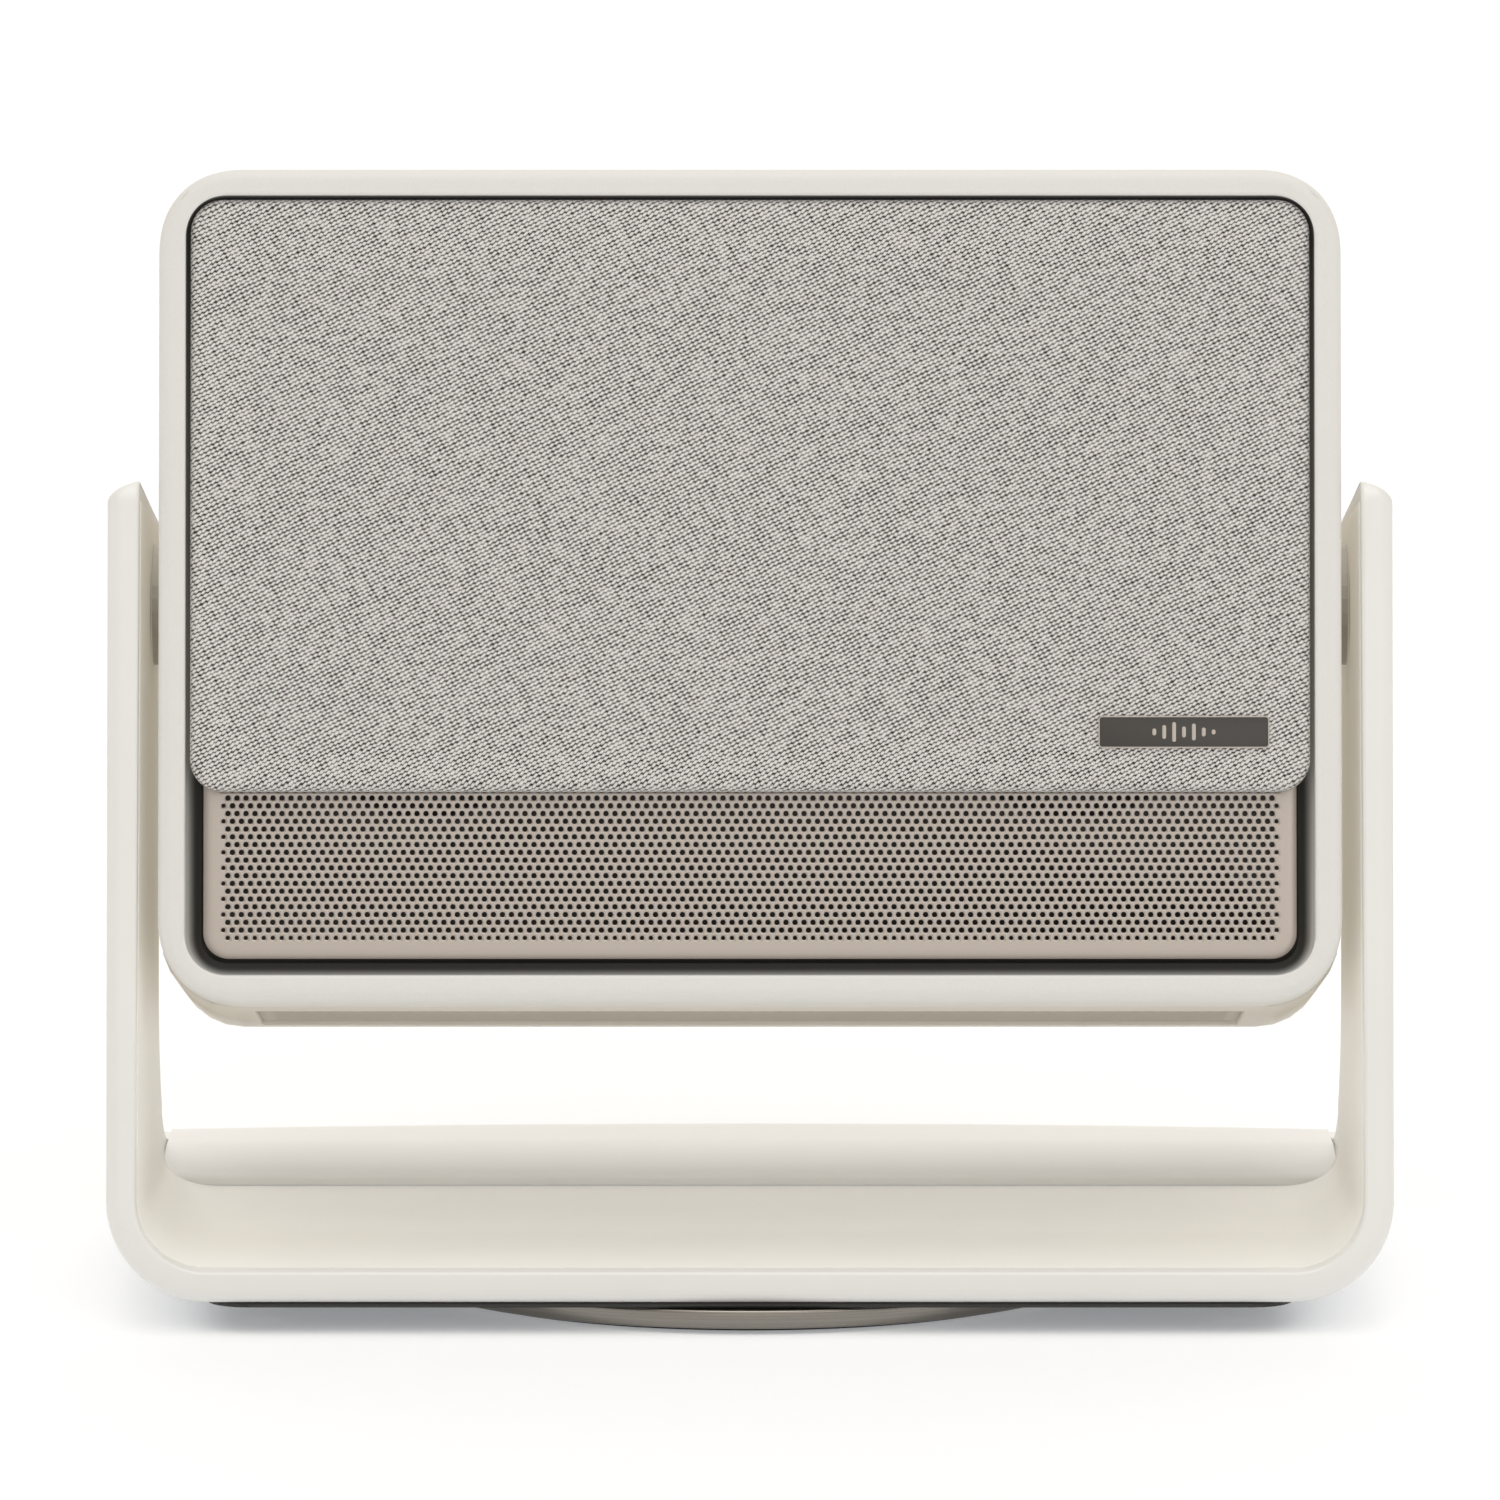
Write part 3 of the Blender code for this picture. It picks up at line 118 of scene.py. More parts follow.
bpy.context.scene.view_settings.view_transform = "Standard"
soft_box("front soft box", (1.3, -2.3, 0.9), (0, 0, 0.12), 1.6, 1.2, 5.0)


def fill_light(name, strength, colour, turn, spread):
    """A distant, shadowless fill light; strength is the share that a white surface facing it gives
    back, and turn is its rotation from straight down, about X and Y."""
    light = bpy.data.lights.new(name, "SUN")
    light.energy = strength * math.pi
    light.color = colour
    light.angle = math.radians(spread)
    light.use_shadow = False
    made = bpy.data.objects.new(name, light)
    made.rotation_euler = (math.radians(turn[0]), math.radians(turn[1]), 0.0)
    link_object(made)


fill_light("overhead fill", 0.31, (0.97, 0.985, 1.0), (8, 0), 50)
fill_light("left fill", 0.16, (1.0, 0.94, 0.84), (0, -90), 50)
fill_light("right fill", 0.16, (1.0, 0.94, 0.84), (0, 90), 50)
LENS_LENGTH, SENSOR_WIDTH = 420.0, 36.0
CAMERA_BACK, CAMERA_HEIGHT, CAMERA_DIP = 3.7414, 0.6217, 7.713
lens = bpy.data.cameras.new("camera")
lens.lens = LENS_LENGTH
lens.sensor_width = SENSOR_WIDTH
lens.clip_end = 200.0
camera = bpy.data.objects.new("camera", lens)
camera.location = (0.0, -CAMERA_BACK, CAMERA_HEIGHT)
camera.rotation_euler = (math.radians(90 - CAMERA_DIP), 0.0, 0.0)
link_object(camera)
bpy.context.scene.camera = camera


# --- Foot and disc ------------------------------------------------------------------------------
# A rubber pad on the table and, on it, a turned disc of dark nickel with brushing in rings. The
# whole stand turns on this disc.

class Surface:
    """A material under construction: a Principled shader and short calls that add nodes to it."""

    def __init__(self, name, colour, roughness, metallic=0.0):
        self.made = bpy.data.materials.new(name)
        self.made.use_nodes = True
        self.tree = self.made.node_tree
        self.shader = self.tree.nodes["Principled BSDF"]
        self.typed("Base Color", (*colour, 1.0))
        self.typed("Roughness", roughness)
        self.typed("Metallic", metallic)

    def node(self, kind, **settings):
        made = self.tree.nodes.new(kind)
        for name, value in settings.items():
            setattr(made, name, value)
        return made

    def link(self, start, end):
        self.tree.links.new(start, end)
        return end

    def math(self, operation, first, second=None, third=None):
        """One Math node; numbers are typed in and sockets are linked."""
        made = self.node("ShaderNodeMath", operation=operation)
        for slot, value in enumerate((first, second, third)):
            if value is None:
                continue
            if isinstance(value, (int, float)):
                made.inputs[slot].default_value = value
            else:
                self.link(value, made.inputs[slot])
        return made.outputs[0]

    def typed(self, socket, value):
        """A constant typed into one of the shader's own sockets."""
        self.shader.inputs[socket].default_value = value

    def places(self):
        return self.node("ShaderNodeTexCoord").outputs["Object"]

    def noise(self, per_metre, detail=3.0, roughness=0.55, vector=None, distortion=0.0):
        made = self.node("ShaderNodeTexNoise")
        made.inputs["Scale"].default_value = per_metre
        made.inputs["Detail"].default_value = detail
        made.inputs["Roughness"].default_value = roughness
        made.inputs["Distortion"].default_value = distortion
        self.link(vector or self.places(), made.inputs["Vector"])
        return made.outputs["Fac"]

    def cells(self, per_metre, feature="F1", vector=None):
        made = self.node("ShaderNodeTexVoronoi", feature=feature)
        made.inputs["Scale"].default_value = per_metre
        self.link(vector or self.places(), made.inputs["Vector"])
        return made.outputs["Distance"]

    def ramp(self, value, low, high, start=(0, 0, 0), end=(1, 1, 1)):
        """A colour ramp between two places on a value."""
        made = self.node("ShaderNodeValToRGB")
        first, last = made.color_ramp.elements
        first.position, last.position = low, high
        first.color, last.color = (*start, 1.0), (*end, 1.0)
        self.link(value, made.inputs["Fac"])
        return made.outputs["Color"]

    def bump(self, height, distance, strength=1.0):
        """Bump by a height of a distance in metres; bumps stack on each other."""
        made = self.node("ShaderNodeBump")
        made.inputs["Distance"].default_value = distance
        made.inputs["Strength"].default_value = strength
        self.link(height, made.inputs["Height"])
        normal = self.shader.inputs["Normal"]
        if normal.is_linked:
            self.link(normal.links[0].from_socket, made.inputs["Normal"])
        self.link(made.outputs["Normal"], normal)

    def colour(self, socket):
        self.link(socket, self.shader.inputs["Base Color"])

    def roughness(self, value, low, high):
        """Roughness that runs from low to high as a value goes from 0 to 1."""
        spread = self.node("ShaderNodeMapRange")
        spread.inputs["To Min"].default_value = low
        spread.inputs["To Max"].default_value = high
        self.link(value, spread.inputs["Value"])
        self.link(spread.outputs["Result"], self.shader.inputs["Roughness"])


def moulded(name, colour, roughness, grain=0.000012):
    """Moulded plastic: spark-eroded grain, a faint mottle in the colour and in the gloss."""
    made = Surface(name, colour, roughness)
    speckle = made.noise(2600.0, 2.0)
    mottle = made.noise(60.0, 3.0)
    darker = tuple(value * 0.98 for value in colour)
    made.colour(made.ramp(mottle, 0.3, 0.7, darker, colour))
    made.roughness(speckle, roughness - 0.07, roughness + 0.07)
    made.bump(speckle, grain)
    return made.made


def grid_mesh(name, points, close_u=False, close_v=True, caps=True):
    """A mesh of quads over a grid of points: rows along u, columns round v, each optionally closed.

    Where the columns close on themselves and the rows don't, the first and last rows may be capped.
    """
    rows, columns = points.shape[:2]
    index = np.arange(rows * columns).reshape(rows, columns)
    if close_u:
        index = np.vstack([index, index[:1]])
    if close_v:
        index = np.hstack([index, index[:, :1]])
    quads = np.stack([index[:-1, :-1], index[1:, :-1], index[1:, 1:], index[:-1, 1:]], axis=-1)
    quads = quads.reshape(-1, 4)
    faces = quads.tolist()
    if caps and close_v and not close_u:
        faces += [list(range(columns)), list(range(rows * columns - 1, (rows - 1) * columns - 1, -1))]
    mesh = bpy.data.meshes.new(name)
    mesh.from_pydata(points.reshape(-1, 3).tolist(), [], faces)
    data = bmesh.new()
    data.from_mesh(mesh)
    bmesh.ops.remove_doubles(data, verts=data.verts, dist=1e-6)
    bmesh.ops.recalc_face_normals(data, faces=data.faces)
    data.to_mesh(mesh)
    data.free()
    mesh.shade_smooth()
    mesh.set_sharp_from_angle(angle=math.radians(40))
    return mesh


def add_piece(name, mesh, finish, body, slot, *replaced):
    """Link a finished mesh as a piece that rides on a body and stands for the replaced nodes."""
    made = bpy.data.objects.new(name, mesh)
    made.data.materials.clear()
    made.data.materials.append(finish)
    link_object(made)
    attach(made, body)
    if replaced:
        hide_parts(*replaced)
    return made


def turned_mesh(name, radius, height, steps=192):
    """A profile of radii and heights carried round the vertical axis at the origin."""
    angle = np.linspace(0.0, math.tau, steps, endpoint=False)[:, None]
    points = np.stack([radius * np.cos(angle), radius * np.sin(angle), height + 0 * angle], axis=-1)
    return grid_mesh(name, points, close_u=True, close_v=False, caps=False)


def lathe_profile(half, low, high, edge, bore=0.0):
    """Radii and heights of a disc's section from its bore or axis out along the top, round the
    upper and lower edges by quarter circles, and back along the underside."""
    turn = np.linspace(0.0, math.pi / 2, 6)
    sine, cosine = edge * np.sin(turn), edge * np.cos(turn)
    radius = np.concatenate([[bore], half - edge + sine, half - edge + cosine, [bore]])
    height = np.concatenate([[high], high - edge + cosine, low + edge - sine, [low]])
    return radius, height


def ringed_metal(name, colour, roughness):
    """Metal brushed in rings: noise that changes quickly with the radius and slowly round it."""
    made = Surface(name, colour, roughness, 1.0)
    split = made.node("ShaderNodeSeparateXYZ")
    made.link(made.places(), split.inputs[0])
    across = made.math("POWER", split.outputs["X"], 2.0)
    away = made.math("SQRT", made.math("ADD", across, made.math("POWER", split.outputs["Y"], 2.0)))
    lines = made.node("ShaderNodeTexNoise", noise_dimensions="2D")
    join = made.node("ShaderNodeCombineXYZ")
    made.link(made.math("MULTIPLY", away, 5200.0), join.inputs["X"])
    made.link(made.math("MULTIPLY", split.outputs["Z"], 5200.0), join.inputs["Y"])
    made.link(join.outputs[0], lines.inputs["Vector"])
    lines.inputs["Scale"].default_value = 1.0
    made.colour(made.ramp(lines.outputs["Fac"], 0.25, 0.75, tuple(value * 0.7 for value in colour), colour))
    made.roughness(lines.outputs["Fac"], roughness - 0.06, roughness + 0.12)
    made.bump(lines.outputs["Fac"], 0.000003)
    made.typed("Anisotropic", 0.5)
    return made.made


disc_low, disc_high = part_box("base_disc")
foot_low, foot_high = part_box("foot_pad")
dark_nickel = ringed_metal("dark nickel", (0.29, 0.27, 0.24), 0.2)
disc_profile = lathe_profile(disc_high.x, disc_low.z, disc_high.z, 0.0006)
add_piece("nickel_disc", turned_mesh("nickel_disc", *disc_profile), dark_nickel,
          "base", "brushed_nickel", "base_disc")
foot_rubber = moulded("foot rubber", (0.03, 0.03, 0.03), 0.8)
pad_profile = lathe_profile(foot_high.x, foot_low.z, foot_high.z, 0.0003)
add_piece("rubber_foot", turned_mesh("rubber_foot", *pad_profile), foot_rubber, "base", "foot_rubber",
          "foot_pad")

# --- Turntable bearing and ballast --------------------------------------------------------------
# A turned steel spindle with a washer and a ring runs through the bearing plate. A steel bar in the
# stand's rear keeps the whole from tipping when the head looks up.

def machined(name, colour, roughness, per_metre=900.0):
    """Bare metal with fine tool marks and a slightly uneven gloss."""
    made = Surface(name, colour, roughness, 1.0)
    marks = made.noise(per_metre, 4.0, 0.7)
    made.colour(made.ramp(marks, 0.2, 0.8, tuple(value * 0.82 for value in colour), colour))
    made.roughness(marks, roughness - 0.08, roughness + 0.12)
    made.bump(marks, 0.000006)
    return made.made


def smoothed(node, finish, body, slot, angle=32.0):
    """A copy of a CAD node with its loose triangles merged and its round faces shaded smooth."""
    data = bmesh.new()
    data.from_mesh(nodes[node].data)
    bmesh.ops.remove_doubles(data, verts=data.verts, dist=2e-6)
    mesh = bpy.data.meshes.new(node + "_fine")
    data.to_mesh(mesh)
    data.free()
    mesh.shade_smooth()
    mesh.set_sharp_from_angle(angle=math.radians(angle))
    return add_piece(node + "_fine", mesh, finish, body, slot, node)


plain_steel = machined("turned steel", (0.56, 0.56, 0.57), 0.34)
for node, body in (("turntable_spindle", "base"), ("retaining_ring", "base"), ("bearing_plate", "yoke"),
                   ("ballast_weight", "yoke")):
    smoothed(node, plain_steel, body, "steel")

# --- Stand --------------------------------------------------------------------------------------
# One die-cast, enamelled U: a flat plate, two round corners and two arms that lean back and thicken
# towards the rear. Its front edge is well rounded outside, and the arm tops round over outwards.

tilt_axis = np.array(joints["head_tilt"]["pos_m"])
up_the_front = -np.array(joints["cover_slide"]["axis"])
to_the_rear = np.array([0.0, up_the_front[2], -up_the_front[1]])
LEAN = math.atan2(up_the_front[1], up_the_front[2])


def head_points(x, y, z):
    """World places of head places: the axis plus x to the right, y to the rear and z up the front."""
    x, y, z = np.broadcast_arrays(x, y, z)
    sideways = np.stack([x, np.zeros_like(x), np.zeros_like(x)], axis=-1)
    return tilt_axis + sideways + y[..., None] * to_the_rear + z[..., None] * up_the_front


def head_box(node):
    """A node's lowest and highest head coordinates, read from its vertices."""
    places = np.zeros(len(nodes[node].data.vertices) * 3)
    nodes[node].data.vertices.foreach_get("co", places)
    away = places.reshape(-1, 3) - tilt_axis
    local = np.stack([away[:, 0], away @ to_the_rear, away @ up_the_front], axis=1)
    return local.min(axis=0), local.max(axis=0)


def enamelled(name, colour, roughness):
    """Stove enamel on cast metal: a slow orange peel under a satin coat."""
    made = Surface(name, colour, roughness)
    peel = made.noise(420.0, 2.0, 0.4)
    mottle = made.noise(25.0, 3.0)
    made.colour(made.ramp(mottle, 0.25, 0.75, tuple(value * 0.975 for value in colour), colour))
    made.roughness(peel, roughness - 0.04, roughness + 0.05)
    made.bump(peel, 0.000006)
    made.typed("Coat Weight", 0.15)
    made.typed("Coat Roughness", 0.25)
    return made.made


PLATE_TOP, PLATE_THICKNESS, ARM_THICKNESS = 0.0134, 0.0069, 0.0062
PLATE_FRONT, INNER_CORNER, REAR_TOP = -0.076, 0.015, 0.0178
ARM_DRAFT, ARM_DEPTH, ARM_OVER_PIVOT, ARM_BEHIND_FACE = 0.0165, 0.0954, 0.0217, 0.003
stand_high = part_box("yoke_frame")[1]
INNER_HALF = stand_high.x - ARM_THICKNESS
CORNER_X = INNER_HALF - INNER_CORNER
face_front = head_box("bezel")[0][1]


def plate_rear(x):
    """The rear edge of the plate bulges: furthest back in the middle, less by the square of x."""
    return stand_high.y - 0.011 * (x / stand_high.x) ** 2


def fade(below, radius):
    """How far a rounded top edge has drawn in: radius minus the circle's chord at that height."""
    rest = np.clip(radius - below, 0.0, radius)
    return radius - np.sqrt(radius ** 2 - rest ** 2)


def arm_rear_edge(share):
    """The arm's rear edge by its share of height: a cubic curve swept up from the plate's rear end
    to a knee, and from there the straight line that leans with the head up to the arm's top."""
    arm_rear = face_front + ARM_BEHIND_FACE + ARM_DEPTH
    top = head_points(0.0, arm_rear, ARM_OVER_PIVOT)[1:]
    knee = head_points(0.0, arm_rear, -0.073)[1:]
    start = np.array([plate_rear(stand_high.x), REAR_TOP])
    pull = np.array([start[0] - 0.8 * (start[0] - knee[0]), REAR_TOP])
    lift = knee - (top - knee) * 0.3
    t = np.clip(share / 0.24, 0.0, 1.0)[:, None]
    sweep = (1 - t) ** 3 * start + 3 * (1 - t) ** 2 * t * pull + 3 * (1 - t) * t ** 2 * lift + t ** 3 * knee
    along = np.clip((share - 0.24) / 0.76, 0.0, 1.0)[:, None]
    return np.where(share[:, None] < 0.24, sweep, knee + (top - knee) * along)


def band_stations():
    """Places along the right half of the U: plate, corner by equal angles, then the arm by height.
    Each has its inner skin's front point, outward normal, thickness, front and rear depth, and the
    heights that the inner and outer skins have at the rear edge."""
    plate = np.linspace(0.0, CORNER_X, 14)[:-1]
    angle = np.linspace(0.0, math.pi / 2, 28)
    foot = PLATE_TOP + INNER_CORNER
    height = head_points(0.0, face_front + ARM_BEHIND_FACE, ARM_OVER_PIVOT)[2] - foot
    fine_top = height - 0.0125 * (1 - np.sin(np.linspace(0, math.pi / 2, 18)))
    level = np.concatenate([np.linspace(0.0, height - 0.0125, 64)[1:-1], fine_top])
    count = len(plate), len(angle), len(level)
    turn = np.concatenate([np.zeros(count[0]), angle, np.full(count[2], math.pi / 2)])
    x = np.concatenate([plate, CORNER_X + INNER_CORNER * np.sin(angle), np.full(count[2], INNER_HALF)])
    rise = np.concatenate([np.zeros(count[0]), 1 - np.cos(angle), np.ones(count[2])])
    z = PLATE_TOP + INNER_CORNER * rise
    z[-count[2]:] = foot + level
    below = np.full(len(x), 1.0)
    below[-count[2]:] = height - level
    front = PLATE_FRONT + (z - PLATE_TOP) * math.tan(LEAN) + fade(below, 0.004)
    rear = plate_rear(x)
    rear_z = arm_rear_edge(level / height)
    rear[-count[2]:] = rear_z[:, 0]
    rear = rear - fade(below, 0.012)
    inner_rear = PLATE_TOP + (REAR_TOP - PLATE_TOP) * rise
    outer_rear = (PLATE_TOP - PLATE_THICKNESS) * (1 - rise) + REAR_TOP * rise
    inner_rear[-count[2]:] = rear_z[:, 1]
    outer_rear[-count[2]:] = rear_z[:, 1]
    thickness = PLATE_THICKNESS + (ARM_THICKNESS - PLATE_THICKNESS) * turn / (math.pi / 2)
    return {"x": x, "z": z, "nx": np.sin(turn), "nz": -np.cos(turn), "thickness": thickness, "front": front,
            "rear": rear, "inner_rear": inner_rear, "outer_rear": outer_rear, "below": below}


def band_points(place, depth, inward):
    """Points at a depth and a distance inward of the inner skin. Between front and rear edge heights
    change evenly; the inner skin draws in with depth by the draft; the outer skin doesn't."""
    def column(key):
        return place[key][:, None]

    share = (depth - column("front")) / (column("rear") - column("front"))
    draft = ARM_DRAFT * (depth - PLATE_FRONT) * column("nx")
    inner_x = column("x") - draft * column("nx")
    inner_z = (1 - share) * column("z") + share * column("inner_rear")
    outer_x = column("x") + column("thickness") * column("nx")
    outer_z = (column("z") + column("thickness") * column("nz")) * (1 - share) + column("outer_rear") * share
    across = np.clip(-inward / column("thickness"), 0.0, 1.0)
    lift = np.maximum(inward, 0.0)
    x = (1 - across) * inner_x + across * outer_x - lift * column("nx")
    z = (1 - across) * inner_z + across * outer_z - lift * column("nz")
    return np.stack([x, depth + 0 * x, z], axis=-1)


def band_mesh(name, place, front, rear, low, high, radii, steps=7):
    """The closed skin of a band: at each place a section between two depths and two inward
    distances, with a quarter circle of its own radius at each of the four edges."""
    turn = np.linspace(0.0, math.pi / 2, steps)
    depth, inward = [], []
    for number, (radius, at_rear, at_high) in enumerate(((radii[0], 0, 0), (radii[1], 0, 1),
                                                         (radii[2], 1, 1), (radii[2], 1, 0))):
        radius = np.minimum(radius, (high - low) * 0.48)[:, None]
        swing = turn[::-1] if number % 2 else turn
        along = radius * (1 - np.sin(swing))
        across = radius * (1 - np.cos(swing))
        depth.append(rear[:, None] - along if at_rear else front[:, None] + along)
        inward.append(high[:, None] - across if at_high else low[:, None] + across)
    half = band_points(place, np.hstack(depth), np.hstack(inward))
    mirror = half[:0:-1] * np.array([-1.0, 1.0, 1.0])
    return grid_mesh(name, np.concatenate([mirror, half]))


stations = band_stations()
TOP_SHOULDER = 0.0038
shoulder = fade(stations["below"] * ARM_THICKNESS / TOP_SHOULDER, ARM_THICKNESS)
skin = -stations["thickness"] + np.minimum(shoulder, stations["thickness"] - 0.0012)
white_enamel = enamelled("warm white enamel", (0.74, 0.735, 0.715), 0.36)
u_mesh = band_mesh("stand_band", stations, stations["front"], stations["rear"], skin,
                   np.zeros(len(skin)), (0.0033, 0.0008, 0.0022))
add_piece("stand_band", u_mesh, white_enamel, "yoke", "stand_enamel", "yoke_frame")

# --- Liner --------------------------------------------------------------------------------------
# A thin moulded trim sheet glued inside the U, a few millimetres behind its front edge, that hides
# the bearing and the hinge screws. Its edge shows as a fine line. Its colour is lighter than the
# enamel: painted light that stands in for bounce light in the shaded slot beside the head.

kept = {key: value[stations["below"] >= 0.003] for key, value in stations.items()}
hump_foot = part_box("rear_housing")[0].y
liner_rear = np.minimum(hump_foot - 0.0006, kept["rear"] - 0.003)
flat = np.ones(len(liner_rear))
liner_mesh = band_mesh("stand_liner", kept, kept["front"] + 0.006, liner_rear, -0.0003 * flat, 0.0002 * flat,
                       (0.0002, 0.0002, 0.0002), 3)
# painted light: lighter than the enamel, standing in for bounce light in the shaded slot
liner_plastic = moulded("liner lightened as painted bounce light", (0.86, 0.845, 0.805), 0.5)
add_piece("stand_liner", liner_mesh, liner_plastic, "yoke", "liner_plastic", "yoke_liner")

# --- Rear housing -------------------------------------------------------------------------------
# The low pillow across the rear of the plate covers the ballast. It is enamelled like the stand and
# reaches from arm to arm, and its rear edge follows the plate's bulge.

HUMP_TALL, HUMP_EDGE, FOOT_ROUND, REAR_ROUND, HUMP_CORNER = 0.0064, 0.0012, 0.025, 0.014, 0.009


def hump_mesh():
    """A pillow between the arms: its height is the product of two quarter-circle rises, one at the
    foot and one at the rear. Its half width follows the arms' draft, its rear edge the plate's bulge,
    and its underside turns up at the ends by a quarter circle."""
    share = (0.5 - 0.5 * np.cos(np.linspace(0.0, math.pi, 80)))[:, None]
    length = stand_high.y - 0.002 - hump_foot
    rise = np.clip(share * length / FOOT_ROUND, 0.0, 1.0)
    fall = np.clip((1 - share) * length / REAR_ROUND, 0.0, 1.0)
    height = HUMP_EDGE + (HUMP_TALL - HUMP_EDGE) * np.sqrt(1 - (1 - rise) ** 2) * np.sqrt(1 - (1 - fall) ** 2)
    across = np.sin(np.linspace(-math.pi / 2, math.pi / 2, 141))
    half = INNER_HALF - ARM_DRAFT * (hump_foot + share * length - PLATE_FRONT) - 0.0003
    x = across * half
    y = hump_foot + share * (plate_rear(x) - 0.002 - hump_foot)
    turned = np.clip((np.abs(x) - half + HUMP_CORNER) / HUMP_CORNER, 0.0, 1.0)
    low = PLATE_TOP + 0.0003 + HUMP_CORNER * (1 - np.sqrt(1 - turned ** 2))
    top = PLATE_TOP + 0.0003 + height + 0 * x
    low = np.minimum(low, top - 0.0005)
    upper, under = np.stack([x, y, top], axis=-1), np.stack([x, y, low], axis=-1)
    return grid_mesh("rear_cover", np.concatenate([upper, under[:, ::-1]], axis=1))


add_piece("rear_cover", hump_mesh(), white_enamel, "yoke", "stand_enamel", "rear_housing")

# --- Bottom cover -------------------------------------------------------------------------------
# A black moulded tray, narrower than the plate, closes the stand from below. Four countersunk steel
# screws hold it.

black_plastic = moulded("black moulded plastic", (0.022, 0.021, 0.019), 0.55)
smoothed("bottom_cover", black_plastic, "yoke", "dark_plastic")
for number in range(1, 5):
    smoothed(f"cover_screw_{number}", plain_steel, "yoke", "steel")

# --- Tilt hinges --------------------------------------------------------------------------------
# A flanged steel shaft runs through each arm into a friction block in the head, with a nylon washer
# between arm and head and a lock nut inside. The washer's colour is darkened as painted shade, to
# match the shaded arm wall around it.

# painted shade: the washer is coloured as dark as the shaded wall of the slot it sits in
nylon_painted_shade_dark = moulded("nylon darkened as painted shade", (0.50, 0.475, 0.42), 0.5)
black_lacquer = moulded("black lacquered steel", (0.02, 0.02, 0.02), 0.4, 0.000006)
for side in ("left", "right"):
    smoothed(f"hinge_shaft_{side}", plain_steel, "yoke", "steel")
    smoothed(f"hinge_nut_{side}", plain_steel, "yoke", "steel")
    smoothed(f"hinge_washer_{side}", nylon_painted_shade_dark, "yoke", "liner_plastic")
    smoothed(f"friction_block_{side}", black_lacquer, "head", "steel")

# --- Rear shell ---------------------------------------------------------------------------------
# The shell behind the bezel is one moulding in warm beige, spark-eroded plastic. The power button on
# its top is the same plastic and goes in by less than a millimetre.

beige_shell = moulded("warm beige shell", (0.70, 0.665, 0.60), 0.5)
smoothed("rear_shell", beige_shell, "head", "shell_plastic")
smoothed("power_button", beige_shell, "button", "shell_plastic")

# --- Vents --------------------------------------------------------------------------------------
# Air enters through a moulded panel under the head, with small round holes on a triangular lattice,
# and leaves through a slatted grille behind the fan.

def rounded_loop(half_width, half_height, radius, steps=12, power=2.0):
    """Points round a rectangle with round corners, anticlockwise: corner centre plus radius times the
    direction's sine and cosine, each raised to 2 / power, which is a quarter circle at power 2 and a
    softer shoulder above it. Returns x and z, each (..., 4 * steps)."""
    half_width, half_height, radius = (np.asarray(value, float)[..., None]
                                       for value in (half_width, half_height, radius))
    turn = np.linspace(0.0, math.pi / 2, steps)
    angle = np.concatenate([turn + quarter * math.pi / 2 for quarter in range(4)])
    side_x = np.repeat([1, -1, -1, 1], steps)
    side_z = np.repeat([1, 1, -1, -1], steps)
    bend = 2.0 / power
    x = side_x * (half_width - radius) + radius * side_x * np.abs(np.cos(angle)) ** bend
    z = side_z * (half_height - radius) + radius * side_z * np.abs(np.sin(angle)) ** bend
    return x, z


